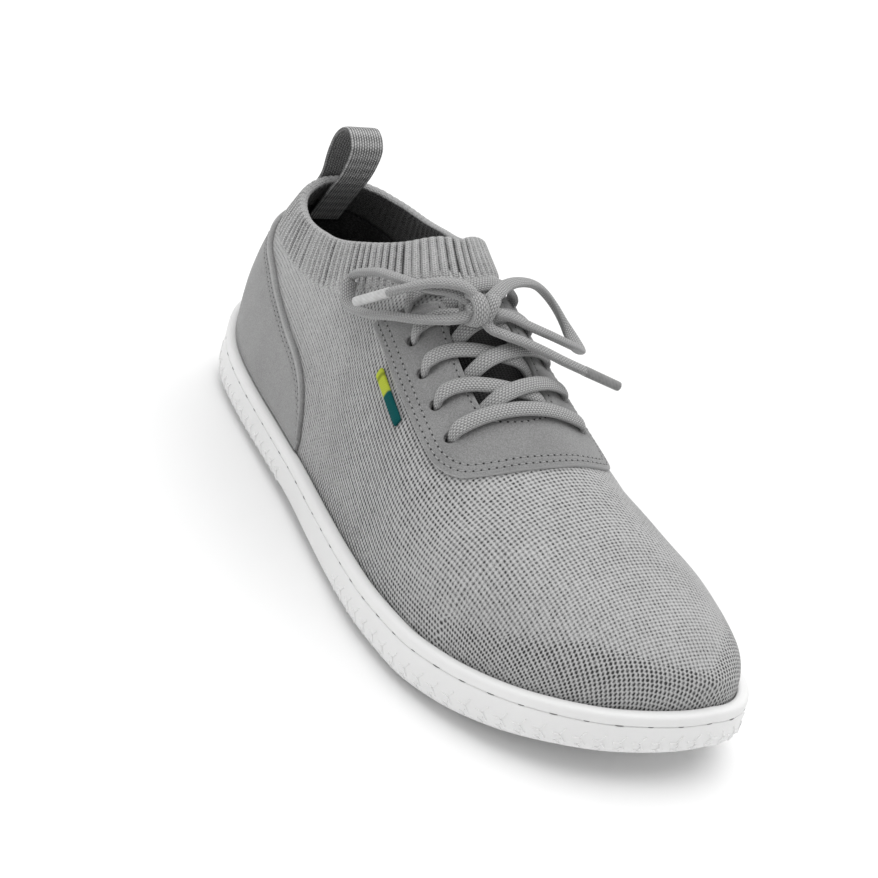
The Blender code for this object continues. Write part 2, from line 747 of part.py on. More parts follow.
outside_off = GAP + CUFF_PROUD + WEBBING_THICK / 2
inside_off = -CUFF_WALL - GAP - WEBBING_THICK / 2 - 1.8
loop_route = [
    heel_back(heel_rim[2] - 15.0, outside_off + 0.2),
    heel_back(heel_rim[2] - 9.0, outside_off + 0.2),
    heel_back(heel_rim[2] - 1.0, outside_off + 0.3),
    heel_rim + np.array([-1.5, 0.0, 9.0]),
    heel_rim + np.array([1.5, 0.0, 17.5]),
    heel_rim + np.array([8.0, 0.0, 21.5]),
    heel_rim + np.array([13.5, 0.0, 17.0]),
    heel_rim + np.array([12.0, 0.0, 8.0]),
    heel_back(heel_rim[2] - 1.0, inside_off - 0.6),
    heel_back(heel_rim[2] - 10.0, inside_off - 0.3),
    heel_back(heel_rim[2] - 16.0, inside_off - 0.2),
]
loop_line = smooth_line(loop_route, 26)
run = np.gradient(loop_line, axis=0)
run /= np.linalg.norm(run, axis=1)[:, None]
out = np.cross(run, [0.0, 1.0, 0.0])
rings = []
for across, off in ((-1, -1), (1, -1), (1, 1), (-1, 1)):
    rings.append(loop_line + np.array([0, across * WEBBING_WIDTH / 2, 0]) + out * off * WEBBING_THICK / 2)
points = np.stack(rings, axis=1).reshape(-1, 3)
faces = grid_faces(len(loop_line), 4, closed=True)
faces.append((3, 2, 1, 0))
faces.append(tuple(4 * len(loop_line) - 4 + k for k in range(4)))
pull_loop = put("pull_loop", points, faces, webbing_grey, shoe)

# A small folded ribbon tag lies on the knit, along the outer edge of the eyestay.
TAG_LENGTH = (0.489, 0.580)
TAG_W = (-0.545, -0.500)
tag_a = np.linspace(float(a_of(TAG_LENGTH[0])), float(a_of(TAG_LENGTH[1])), 7)
places = []
for k, a in enumerate(tag_a):
    for share in (0.0, 0.33, 0.67, 1.0):
        places.append((a, TAG_W[0] - 0.04 + (TAG_W[1] - TAG_W[0]) * share))
tag_off = OVERLAY_GAP
points, faces = thick(places, grid_faces(7, 4), tag_off + 1.1, tag_off)
side_tag = put("side_tag", points, faces, ribbon_teal, shoe)

# The lace: a bar over the lowest pair of holes, then crossings up to the fifth pair, joined.
LACE_OFF = OVERLAY_GAP + OVERLAY + GAP + LACE_THICK / 2 + 0.2
LACE_SIDES = 6
LACE_RINGS = 7


def hole_place(k, side):
    row = EYELETS[k]
    return np.array([float(a_of(row[2 * side])), row[2 * side + 1]])


def strand(name, one, two, lift):
    """Lace lying over the shoe between two places, a little longer at both ends."""
    share = np.linspace(-0.04, 1.04, LACE_RINGS)
    spots = one + (two - one) * share[:, None]
    off = LACE_OFF + lift * np.sin(np.pi * np.clip(share, 0, 1))
    line = raised(spots[:, 0], spots[:, 1], off)
    ups = raised(spots[:, 0], spots[:, 1], off + 1) - line
    points, faces = tube(line, ups, LACE_WIDTH, LACE_THICK, LACE_SIDES)
    return points, faces


strands = [("bar", hole_place(0, 0), hole_place(0, 1), 0.5)]
for k in range(4):
    strands.append((f"rise_{k}", hole_place(k, 1), hole_place(k + 1, 0), 0.2))
    strands.append((f"fall_{k}", hole_place(k, 0), hole_place(k + 1, 1), 0.9))
lace_crossings = None
for name, one, two, lift in strands:
    points, faces = strand(name, one, two, lift)
    if lace_crossings is None:
        lace_crossings = put("lace_crossings", points, faces, lace_grey, shoe)
    else:
        combine(lace_crossings, put("strand_" + name, points, faces, None, cutters), "UNION")

# The bow: share of the length, place w and distance out from the upper, for the knot's middle and
# along each loop and end.
KNOT = (0.531, -0.080, 10.8)
KNOT_SIZE = (11.0, 12.0, 9.5)
LOOP_OUTER = (
    (0.533, -0.157, 9.8),
    (0.514, -0.276, 7.8),
    (0.476, -0.396, 5.8),
    (0.432, -0.503, 4.6),
    (0.390, -0.556, 4.4),
    (0.372, -0.515, 4.8),
    (0.404, -0.420, 6.2),
    (0.448, -0.325, 8.2),
    (0.486, -0.235, 10.2),
    (0.510, -0.143, 11.4),
)
LOOP_INNER = (
    (0.520, -0.024, 11.2),
    (0.494, 0.080, 10.2),
    (0.480, 0.190, 9.6),
    (0.472, 0.310, 10.0),
    (0.480, 0.420, 11.0),
    (0.500, 0.475, 11.6),
    (0.524, 0.450, 11.0),
    (0.540, 0.350, 9.5),
    (0.546, 0.220, 8.6),
    (0.545, 0.110, 9.0),
    (0.538, 0.010, 9.8),
)
END_OUTER = (
    (0.515, -0.116, 15.2),
    (0.497, -0.200, 15.4),
    (0.482, -0.285, 13.9),
    (0.466, -0.356, 11.9),
)
END_INNER = (
    (0.551, -0.060, 8.6),
    (0.558, -0.020, 8.4),
    (0.568, 0.060, 8.4),
    (0.576, 0.140, 8.6),
    (0.584, 0.220, 9.6),
    (0.590, 0.290, 11.4),
)
AGLET_LENGTH = 15.0
AGLET_DIAMETER = 3.6


def out_from_upper(rows):
    rows = np.array(rows, float)
    return raised(a_of(rows[:, 0]), rows[:, 1], rows[:, 2])


def ball(name, middle, size, look):
    """Closed rounded lump from rings."""
    points = [np.array(middle) - [0, 0, size[2] / 2]]
    for level in np.linspace(-1, 1, 7)[1:-1]:
        rise = math.sin(level * math.pi / 2)
        reach = math.cos(level * math.pi / 2)
        for k in range(16):
            turn = k * math.pi / 8
            spot = [math.cos(turn) * reach * size[0] / 2, math.sin(turn) * reach * size[1] / 2, rise * size[2] / 2]
            points.append(np.array(middle) + spot)
    points.append(np.array(middle) + [0, 0, size[2] / 2])
    faces = []
    for k in range(16):
        faces.append((0, 1 + (k + 1) % 16, 1 + k))
        faces.append((len(points) - 1, len(points) - 17 + k, len(points) - 17 + (k + 1) % 16))
    for i in range(4):
        for k in range(16):
            one = 1 + 16 * i
            faces.append((one + k, one + (k + 1) % 16, one + 16 + (k + 1) % 16, one + 16 + k))
    return put(name, points, faces, look, shoe)


def cord(name, route, count, width, height, look):
    line = smooth_line(out_from_upper(route), count)
    ups = np.tile([0.0, 0.0, 1.0], (count, 1))
    points, faces = tube(line, ups, width, height, LACE_SIDES)
    return put(name, points, faces, look, shoe)


ball("bow_knot", out_from_upper([KNOT])[0], KNOT_SIZE, lace_grey)
cord("bow_loop_outer", LOOP_OUTER, 26, 4.8, 3.4, lace_grey)
cord("bow_loop_inner", LOOP_INNER, 26, 4.8, 3.4, lace_grey)
for name, route in (("outer", END_OUTER), ("inner", END_INNER)):
    cord(f"lace_end_{name}", route, 9, 4.8, 3.4, lace_grey)
    line = smooth_line(out_from_upper(route), 9)
    aim = line[-1] - line[-2]
    aim = aim / np.linalg.norm(aim)
    start = line[-1] + aim * GAP
    stop = start + aim * AGLET_LENGTH
    ups = [[0, 0, 1], [0, 0, 1]]
    points, faces = tube([start, stop], ups, AGLET_DIAMETER, AGLET_DIAMETER, 12)
    put(f"aglet_{name}", points, faces, aglet_grey, shoe)
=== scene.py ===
# %% [markdown]
# # Dressing a knit barefoot shoe
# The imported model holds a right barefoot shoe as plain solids: a rubber sole, a knit upper and a lace.
# They keep their place in physics. This lesson makes each of them again with the detail of the real
# shoe, in the same places, and then lights and frames it as a studio picture.

import json
import math

import bmesh
import bpy
import numpy as np
from mathutils import Matrix, Vector

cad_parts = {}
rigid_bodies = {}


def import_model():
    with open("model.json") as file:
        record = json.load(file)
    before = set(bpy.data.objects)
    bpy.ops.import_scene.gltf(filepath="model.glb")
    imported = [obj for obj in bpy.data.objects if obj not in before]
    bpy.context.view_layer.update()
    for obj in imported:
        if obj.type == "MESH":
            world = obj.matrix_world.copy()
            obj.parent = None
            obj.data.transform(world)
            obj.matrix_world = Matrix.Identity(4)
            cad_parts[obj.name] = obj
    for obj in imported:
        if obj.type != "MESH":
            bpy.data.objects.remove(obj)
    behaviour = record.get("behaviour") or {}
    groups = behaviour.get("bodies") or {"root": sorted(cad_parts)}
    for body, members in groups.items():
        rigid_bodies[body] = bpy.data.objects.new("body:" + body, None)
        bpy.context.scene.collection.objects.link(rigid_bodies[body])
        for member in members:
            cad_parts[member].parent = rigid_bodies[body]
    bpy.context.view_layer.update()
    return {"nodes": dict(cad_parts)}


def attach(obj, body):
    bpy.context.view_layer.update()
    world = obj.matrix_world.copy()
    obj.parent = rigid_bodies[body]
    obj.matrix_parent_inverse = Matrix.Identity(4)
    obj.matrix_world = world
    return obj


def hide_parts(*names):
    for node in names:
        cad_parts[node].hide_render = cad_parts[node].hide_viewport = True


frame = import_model()
print("solids:", sorted(frame["nodes"]))

# %% [markdown]
# ## The camera
# The picture is taken from in front, a little above and from the outer side of the foot, with the
# camera rolled. A camera could be aimed with a constraint, but a rolled one is easier to write as
# three directions: backwards, right and up. They are turned about the line of sight by the roll.

# %% Aim the camera
MM = 0.001
AZIMUTH = 51.965
ELEVATION = 26.684
ROLL = 16.263
CAMERA_REACH = 600.0
CAMERA_LENS = 73.03
CAMERA_SHIFT = (-0.0169, -0.0009)
AIM = np.array([0.0, 1.5, 40.0])


def camera_axes(azimuth, elevation, roll):
    """Right, up and backwards of a camera, in degrees."""
    turn, rise, lean = (math.radians(v) for v in (azimuth, elevation, roll))
    back = np.array([math.sin(turn) * math.cos(rise), -math.cos(turn) * math.cos(rise), math.sin(rise)])
    right = np.cross(-back, [0, 0, 1])
    right /= np.linalg.norm(right)
    up = np.cross(right, -back)
    rolled_right = math.cos(lean) * right + math.sin(lean) * up
    rolled_up = math.cos(lean) * up - math.sin(lean) * right
    return rolled_right, rolled_up, back


right, up, back = camera_axes(AZIMUTH, ELEVATION, ROLL)
eye = (AIM + back * CAMERA_REACH) * MM
camera = bpy.data.objects.new("camera", bpy.data.cameras.new("camera"))
bpy.context.scene.collection.objects.link(camera)
camera.matrix_world = Matrix(
    [[right[i], up[i], back[i], eye[i]] for i in range(3)] + [[0, 0, 0, 1]]
)
camera.data.sensor_width = 36.0
camera.data.lens = CAMERA_LENS
camera.data.shift_x, camera.data.shift_y = CAMERA_SHIFT
camera.data.clip_start = 0.02
camera.data.clip_end = 60.0
bpy.context.scene.camera = camera
print("camera at", [round(v, 3) for v in eye], "metres")

# %% [markdown]
# ## The sizes of the last
# A shoe is drawn over a last, a solid foot. Its plan, heights and sections are short tables against
# the share of the length, as a pattern cutter keeps them. Every piece of the shoe below is read from
# these tables, so they fit each other without any measuring. All of them are in millimetres.

# %% Sizes and tables
# The last, and the sheets that lie on it.
LENGTH = 272.0
WALL = 2.0
CUFF_PROUD = 0.7
CUFF_WALL = 2.8
GAP = 0.3
OVERLAY_GAP = 0.4
COUNTER_GAP = 0.5
OVERLAY = 0.9
LIP_WIDTH = 4.4
UPPER_INSET = LIP_WIDTH + GAP
INSOLE_INSET = UPPER_INSET + WALL + 2 * GAP
INSOLE_THICK = 3.0
TONGUE_THICK = 2.2
BULGE = 0.03
DENSE = 1440
# The chevrons of the tread.
LUG_HEIGHT = 1.6
LUG_WIDTH = 6.0
LUG_PITCH = 12.5
LUG_SWEEP = 7.0
LUG_INSET = 9.0
# The lace, its holes and the webbing.
LACE_WIDTH = 5.4
LACE_THICK = 2.8
HOLE_DIAMETER = 4.2
WEBBING_WIDTH = 13.5
WEBBING_THICK = 1.5

# Share of the length, then the outer and inner edge of the sole from the long axis.
OUTLINE = (
    (0.00, 0.0, 0.0),
    (0.02, -17.5, 15.0),
    (0.05, -25.5, 23.0),
    (0.10, -31.5, 29.5),
    (0.20, -36.5, 33.5),
    (0.30, -40.0, 33.5),
    (0.40, -43.5, 33.5),
    (0.50, -48.0, 36.5),
    (0.60, -52.0, 42.5),
    (0.68, -54.0, 47.0),
    (0.75, -53.5, 50.0),
    (0.82, -49.0, 51.0),
    (0.88, -41.0, 48.5),
    (0.93, -30.0, 44.5),
    (0.97, -15.0, 37.0),
    (0.99, 0.0, 29.5),
    (1.00, 17.0, 17.0),
)

# Share of the length, top of the lip, bottom outer edge, flat bottom, cup floor.
SOLE_HEIGHTS = (
    (0.00, 28.0, 10.0, 4.0, 7.0),
    (0.03, 26.0, 6.5, 2.6, 6.6),
    (0.07, 21.5, 3.2, 1.6, 6.4),
    (0.12, 18.6, 1.8, 1.6, 6.4),
    (0.20, 17.2, 1.6, 1.6, 6.4),
    (0.42, 16.6, 2.2, 2.4, 6.6),
    (0.58, 16.6, 1.6, 1.6, 6.4),
    (0.74, 17.4, 1.8, 1.6, 6.6),
    (0.82, 18.8, 3.0, 2.6, 7.6),
    (0.88, 20.6, 5.2, 4.4, 9.4),
    (0.95, 23.6, 9.0, 7.6, 12.6),
    (1.00, 26.4, 12.4, 11.0, 16.0),
)

# Share of the length, ridge height, ridge shift to the inner side, squareness of each half.
SECTIONS = (
    (0.00, 114.0, 4.0, 2.4, 2.4),
    (0.05, 116.0, 7.0, 2.5, 2.5),
    (0.12, 117.0, 9.0, 2.5, 2.5),
    (0.22, 116.0, 8.5, 2.4, 2.4),
    (0.32, 111.5, 6.5, 2.2, 2.2),
    (0.40, 104.5, 3.0, 2.1, 2.15),
    (0.46, 97.0, 0.0, 2.05, 2.15),
    (0.54, 86.0, -2.0, 2.05, 2.15),
    (0.62, 74.5, -1.5, 2.1, 2.1),
    (0.70, 64.5, 0.5, 2.15, 2.0),
    (0.78, 56.5, 4.5, 2.3, 2.0),
    (0.86, 50.5, 5.0, 2.35, 2.15),
    (0.93, 44.5, 3.0, 2.3, 2.2),
    (0.98, 38.0, 0.0, 2.2, 2.2),
    (1.00, 33.0, 0.0, 2.1, 2.1),
)

# Height above the floor, how far the heel leans forward there.
HEEL_LEAN = (
    (0.0, 0.0),
    (26.0, 0.0),
    (38.0, 0.8),
    (52.0, 4.0),
    (66.0, 9.5),
    (80.0, 17.0),
    (92.0, 24.0),
    (120.0, 37.0),
)

# Way from heel 0 to front 1, then for the rim and for the cuff's lower edge the share of the length
# and the place w on the outer and on the inner side.
COLLAR = (
    (0.00, 0.000, 0.560, 0.560, 0.000, 0.690, 0.690),
    (0.15, 0.006, 0.570, 0.570, 0.008, 0.700, 0.700),
    (0.30, 0.030, 0.595, 0.590, 0.036, 0.720, 0.715),
    (0.50, 0.130, 0.610, 0.600, 0.145, 0.735, 0.725),
    (0.65, 0.235, 0.565, 0.555, 0.262, 0.690, 0.680),
    (0.80, 0.335, 0.430, 0.415, 0.375, 0.530, 0.515),
    (0.90, 0.388, 0.260, 0.250, 0.436, 0.320, 0.305),
    (1.00, 0.415, 0.000, 0.000, 0.474, 0.000, 0.000),
)

THROAT = (0.500, 0.645)
THROAT_HALF = 0.20
THROAT_MIDDLE = -0.03

# Way round the U, then the outer edge and the throat edge as share of the length and place w.
EYESTAY = (
    (0.00, 0.437, -0.520, 0.492, -0.180),
    (0.10, 0.480, -0.510, 0.515, -0.200),
    (0.22, 0.555, -0.500, 0.565, -0.210),
    (0.34, 0.640, -0.485, 0.618, -0.200),
    (0.40, 0.682, -0.410, 0.634, -0.170),
    (0.45, 0.703, -0.220, 0.641, -0.100),
    (0.50, 0.709, -0.020, 0.643, -0.030),
    (0.55, 0.705, 0.180, 0.641, 0.040),
    (0.60, 0.689, 0.370, 0.634, 0.110),
    (0.66, 0.652, 0.435, 0.618, 0.140),
    (0.78, 0.570, 0.450, 0.565, 0.150),
    (0.90, 0.500, 0.455, 0.515, 0.140),
    (1.00, 0.457, 0.455, 0.492, 0.120),
)

# From the toe up, the share of the length and place w of the punched hole on each side.
EYELETS = (
    (0.636, -0.370, 0.643, 0.310),
    (0.592, -0.375, 0.600, 0.315),
    (0.549, -0.380, 0.558, 0.315),
    (0.506, -0.375, 0.516, 0.305),
    (0.466, -0.365, 0.477, 0.295),
)

# Distance along the sole's edge from the heel line, outer side negative, and the panel's top.
COUNTER = (
    (-121.0, 22.0),
    (-117.0, 31.0),
    (-106.0, 41.0),
    (-86.0, 49.0),
    (-64.0, 56.0),
    (-44.0, 62.0),
    (-28.0, 67.0),
    (-14.0, 70.0),
    (-8.0, 71.0),
    (8.0, 71.0),
    (14.0, 62.0),
    (20.0, 51.0),
    (28.0, 46.0),
    (38.0, 42.0),
    (59.0, 38.5),
    (76.0, 36.5),
    (88.0, 32.5),
    (97.0, 28.0),
    (110.0, 20.5),
)
print("tables:", len(OUTLINE), "outline rows,", len(SECTIONS), "sections,", len(COUNTER), "counter rows")

# %% [markdown]
# ## From tables to a surface
# A place on the upper is (a, w). The first number runs from the heel line 0 to the toe tip 1, and the
# second from the outer edge -1 over the ridge 0 to the inner edge 1. Rounded sections with a squareness
# exponent give both the upright wall at the heel and the flatter vamp at the toe. The same functions
# are in the part's source, so the dressed pieces land on the solids.

# %% Plan and sections


def smooth_rows(xs, ys, at):
    """Cubic through the rows that doesn't overshoot them."""
    xs = np.asarray(xs, float)
    ys = np.asarray(ys, float)
    step = np.diff(xs)
    slope = np.diff(ys) / step
    inner = np.where(slope[:-1] * slope[1:] > 0, slope[:-1] * slope[1:], 0.0)
    weight_a = 2 * step[1:] + step[:-1]
    weight_b = step[1:] + 2 * step[:-1]
    total = weight_a * slope[1:] + weight_b * slope[:-1]
    safe = np.where(np.abs(total) < 1e-12, 1.0, total)
    middle = np.where(inner > 0, (weight_a + weight_b) * inner / safe, 0.0)
    ends = np.concatenate([[slope[0]], middle, [slope[-1]]])
    at = np.clip(at, xs[0], xs[-1])
    i = np.clip(np.searchsorted(xs, at) - 1, 0, len(step) - 1)
    t = (at - xs[i]) / step[i]
    h = step[i]
    return (
        ys[i] * (1 + 2 * t) * (1 - t) ** 2
        + h * ends[i] * t * (1 - t) ** 2
        + ys[i + 1] * t * t * (3 - 2 * t)
        + h * ends[i + 1] * t * t * (t - 1)
    )


def soft(share):
    """From 0 to 1 without a corner at either end."""
    return share * share * (3 - 2 * share)


def soft_step(value, low, high):
    """0 below low, 1 above high, and soft in between."""
    return soft(np.clip((value - low) / (high - low), 0, 1))


def way_along(line):
    """Distance along a line at each of its points."""
    return np.concatenate([[0], np.cumsum(np.linalg.norm(np.diff(line, axis=0), axis=1))])


def direction(line):
    """The way a line runs at each of its points, of length one."""
    run = np.gradient(line, axis=0)
    return run / np.linalg.norm(run, axis=1)[:, None]


def share_of(a):
    return (1 - np.cos(np.pi * np.clip(a, 0, 1))) / 2


def a_of(share):
    return np.arccos(1 - 2 * np.clip(share, 0, 1)) / np.pi


TRACK_A = np.linspace(0, 1, DENSE // 2 + 1)


def track(rows, column):
    """One column of a table over a, at even steps, with its corners softened."""
    values = smooth_rows(a_of(np.array([row[0] for row in rows])), [row[column] for row in rows], TRACK_A)
    for _ in range(60):
        padded = np.concatenate([[2 * values[0] - values[1]], values, [2 * values[-1] - values[-2]]])
        values = (padded[:-2] + 2 * values + padded[2:]) / 4
    return values


def reading(rows, column):
    values = track(rows, column)
    return lambda a: np.interp(a, TRACK_A, values)


lip_z, low_z, flat_z, cup_z = (reading(SOLE_HEIGHTS, column) for column in (1, 2, 3, 4))
ridge_z, ridge_shift, outer_square, inner_square = (reading(SECTIONS, column) for column in (1, 2, 3, 4))


def closed_plan():
    """The sole's edge as a closed line: outer side from heel to toe, then inner side back."""
    x = LENGTH * (share_of(TRACK_A) - 0.5)
    there = np.stack([x, track(OUTLINE, 1)], axis=1)
    back_again = np.stack([x, track(OUTLINE, 2)], axis=1)[::-1]
    points = np.concatenate([there, back_again[1:-1]])
    for _ in range(40):
        points = (np.roll(points, 1, axis=0) + 2 * points + np.roll(points, -1, axis=0)) / 4
    low = points[:, 0].min()
    high = points[:, 0].max()
    points[:, 0] = LENGTH * ((points[:, 0] - low) / (high - low) - 0.5)
    points[:, 1] -= (points[:, 1].min() + points[:, 1].max()) / 2
    return points


PLAN = closed_plan()
INSETS = {}


def plan_at(turn, inset):
    """Point on the edge at turn 0 heel, 1 toe, 2 heel again, moved inwards square to itself."""
    if inset not in INSETS:
        run = np.roll(PLAN, -6, axis=0) - np.roll(PLAN, 6, axis=0)
        run /= np.linalg.norm(run, axis=1)[:, None]
        moved = PLAN + inset * np.stack([-run[:, 1], run[:, 0]], axis=1)
        INSETS[inset] = np.concatenate([moved, moved[:1]])
    points = INSETS[inset]
    place = np.mod(np.asarray(turn, float), 2.0) * (DENSE / 2)
    around = np.arange(DENSE + 1)
    return np.stack([np.interp(place, around, points[:, 0]), np.interp(place, around, points[:, 1])], axis=-1)


EDGE_WAY = way_along(np.concatenate([PLAN, PLAN[:1]]))
print("the sole's edge is", round(EDGE_WAY[-1]), "mm round, and", round(np.ptp(PLAN[:, 1])), "mm wide")

# %% The surface of the last


def squareness(a, w):
    """Squareness of the section, its two halves joined softly over the ridge."""
    share = soft(np.clip(0.5 + np.asarray(w) / 0.6, 0, 1))
    return outer_square(a) * (1 - share) + inner_square(a) * share


def surface(a, w):
    """Places on the outside of the upper, in millimetres."""
    a, w = np.broadcast_arrays(np.asarray(a, float), np.asarray(w, float))
    past = (a < 0) | (a > 1)
    w = np.where(past, -w, w)
    a = np.where(a < 0, -a, np.where(a > 1, 2 - a, a))
    outer = plan_at(a, UPPER_INSET)
    inner = plan_at(2 - a, UPPER_INSET)
    base = np.where((w < 0)[..., None], outer, inner)
    top = (outer + inner) / 2
    top[..., 1] += ridge_shift(a)
    angle = np.minimum(np.abs(w), 1) * np.pi / 2
    power = 2 / squareness(a, w)
    out = np.sin(angle) ** power * (1 + BULGE * np.sin(2 * angle) ** 2)
    rise = np.where(np.abs(w) >= 1, 0.0, np.cos(angle) ** power)
    foot = lip_z(a)
    z = foot + (ridge_z(a) - foot) * rise - np.maximum(np.abs(w) - 1, 0) * 100
    place = top + (base - top) * out[..., None]
    fade = soft(np.clip(1 - share_of(a) / 0.36, 0, 1))
    lean = smooth_rows([row[0] for row in HEEL_LEAN], [row[1] for row in HEEL_LEAN], z)
    return np.stack([place[..., 0] + lean * fade, place[..., 1], z], axis=-1)


def facing(a, w):
    """Directions out from the upper, of length one."""
    step = 0.004
    along = surface(a + step, w) - surface(a - step, w)
    across = surface(a, w + step) - surface(a, w - step)
    normal = np.cross(along, across)
    return normal / np.maximum(np.linalg.norm(normal, axis=-1), 1e-12)[..., None]


def w_at_height(a, z, side):
    """Place w, without its sign, where the outer side -1 or inner side 1 reaches a height."""
    foot = lip_z(a)
    share = np.clip((z - foot) / (ridge_z(a) - foot), 0, 1)
    return np.arccos(share ** (squareness(a, side) / 2)) * 2 / np.pi


def collar_lines(way):
    """Rim and lower edge of the cuff as (a, w) for a way from 0 heel over 1 front to 2 heel."""
    inner_side = way > 1
    along = np.where(inner_side, 2 - way, way)
    knots = [row[0] for row in COLLAR]
    found = []
    for column in (1, 4):
        a = smooth_rows(knots, a_of(np.array([row[column] for row in COLLAR])), along)
        outer = smooth_rows(knots, [row[column + 1] for row in COLLAR], along)
        inner = smooth_rows(knots, [row[column + 2] for row in COLLAR], along)
        found.append((a, np.where(inner_side, inner, -outer)))
    return found


print("top of the instep at", np.round(surface(float(a_of(0.46)), 0.0), 1))

# %% [markdown]
# ## Soft creases
# A knit shell without a foot in it is never quite even. Cloth simulation could find its creases, but
# they would come out different in every size. A few soft troughs and ridges are listed instead, each
# between two places of the last, and everything that lies on the knit follows them.

# %% Creases of the knit
# Share and w at both ends, half width and depth in millimetres; a depth above 0 is a ridge.
CREASES = (
    (0.700, -0.78, 0.722, -0.40, 5.0, -0.55),
    (0.672, -0.72, 0.690, -0.50, 4.0, -0.35),
    (0.690, 0.82, 0.712, 0.46, 5.0, -0.50),
    (0.420, -0.66, 0.300, -0.90, 9.0, -0.80),
    (0.520, -0.66, 0.610, -0.82, 7.0, -0.50),
    (0.110, -0.88, 0.170, -0.70, 6.0, -0.50),
    (0.130, 0.88, 0.260, 0.76, 8.0, -0.70),
    (0.440, 0.62, 0.380, 0.86, 8.0, -0.60),
    (0.800, -0.35, 0.805, 0.40, 15.0, 0.45),
    (0.930, -0.30, 0.930, 0.55, 8.0, -0.25),
)
CREASE_ACROSS = 80.0


def crease(a, w):
    """How far the knit stands out from the last, or in from it, in millimetres."""
    x = LENGTH * share_of(a)
    y = CREASE_ACROSS * np.asarray(w)
    total = np.zeros(np.broadcast(x, y).shape)
    for share_1, w_1, share_2, w_2, half, depth in CREASES:
        start = np.array([LENGTH * share_1, CREASE_ACROSS * w_1])
        line = np.array([LENGTH * share_2, CREASE_ACROSS * w_2]) - start
        t = np.clip(((x - start[0]) * line[0] + (y - start[1]) * line[1]) / (line @ line), 0, 1)
        away = (x - start[0] - t * line[0]) ** 2 + (y - start[1] - t * line[1]) ** 2
        total = total + depth * np.exp(-away / half**2)
    return total * np.clip((1.02 - np.abs(w)) / 0.1, 0, 1)


def raised(a, w, off=0.0):
    """Places at a distance out from the creased knit, or in from it where off is negative."""
    a, w = np.broadcast_arrays(np.asarray(a, float), np.asarray(w, float))
    return surface(a, w) + (np.asarray(off) + crease(a, w))[..., None] * facing(a, w)


print(len(CREASES), "creases")

# %% [markdown]
# A weave must not stretch where the last widens, so it needs a map in millimetres: how far along and how
# far across the upper each place is. Blender could unwrap the mesh, but then the map would change with
# every edit. It is summed up over a table of the last instead, once.

# %% A map of the cloth
CELLS = 240
MIDDLE = CELLS // 2
CLOTH_REACH = 1.2
cloth_a = np.linspace(0, 1, CELLS + 1)
cloth_w = np.linspace(-CLOTH_REACH, CLOTH_REACH, CELLS + 1)
cloth_points = surface(cloth_a[:, None], cloth_w[None, :])
steps_along = np.linalg.norm(np.diff(cloth_points, axis=0), axis=2)
steps_across = np.linalg.norm(np.diff(cloth_points, axis=1), axis=2)
cloth_u = np.concatenate([np.zeros((1, CELLS + 1)), np.cumsum(steps_along, axis=0)])
cloth_u -= cloth_u[MIDDLE : MIDDLE + 1]
cloth_v = np.concatenate([np.zeros((CELLS + 1, 1)), np.cumsum(steps_across, axis=1)], axis=1)
cloth_v -= cloth_v[:, MIDDLE : MIDDLE + 1]

# Over the toe the rows would crowd together at the tip, so the cloth is unrolled there from one point
# of the ridge, as a cap: distance over the surface, and direction seen from above.
CAP_SHARE = 0.80
cap_row = int(round(float(a_of(CAP_SHARE)) * CELLS))
cap = cloth_points[cap_row:]
cap_middle = cloth_points[cap_row, MIDDLE]
ahead = cap[..., 0] - cap_middle[0]
beside = cap[..., 1] - cap_middle[1]
flat_way = np.hypot(ahead, beside)
drop = np.maximum(cap_middle[2] - cap[..., 2], 0)
over_cap = (flat_way**1.5 + drop**1.5) ** (1 / 1.5)
sine = beside / np.maximum(flat_way, 1e-6)
cosine = np.where(flat_way < 0.01, 1.0, ahead / np.maximum(flat_way, 1e-6))
true_share = np.abs(cloth_v[cap_row]) / np.maximum(over_cap[0], 1e-6)
true_share[MIDDLE] = 1.0
over_cap = over_cap * (1 + (true_share[None, :] - 1) * sine**2)
cap_u = cloth_u[cap_row][None, :] * sine**2 + cloth_u[cap_row, MIDDLE] * cosine**2 + over_cap * cosine
cap_v = over_cap * sine
cloth_u[cap_row:], cloth_v[cap_row:] = cap_u, cap_v


def cloth_uv(a, w):
    """Distance along from the middle and across from the ridge, in millimetres."""
    a, w = np.broadcast_arrays(np.asarray(a, float), np.asarray(w, float))
    x = np.clip(a * CELLS, 0, CELLS - 0.001)
    y = np.clip((w + CLOTH_REACH) * 100, 0, CELLS - 0.001)
    i, j = x.astype(int), y.astype(int)
    s, t = x - i, y - j
    found = []
    for table in (cloth_u, cloth_v):
        low = table[i, j] * (1 - s) + table[i + 1, j] * s
        high = table[i, j + 1] * (1 - s) + table[i + 1, j + 1] * s
        found.append(low * (1 - t) + high * t)
    return np.stack(found, axis=-1)


print("the knit is", round(float(np.ptp(cloth_v[150]))), "mm across over the ball")

# %% [markdown]
# ## Building meshes from grids
# Nearly every piece is a curved sheet with a wall, so one helper collects grids of points, welds their
# shared edges and turns the faces outwards. It also keeps a map of distances in millimetres on every
# corner, which the weaves are drawn on, and named values such as how open the knit is there.

# %% Grids into pieces


WELD = 1e-6


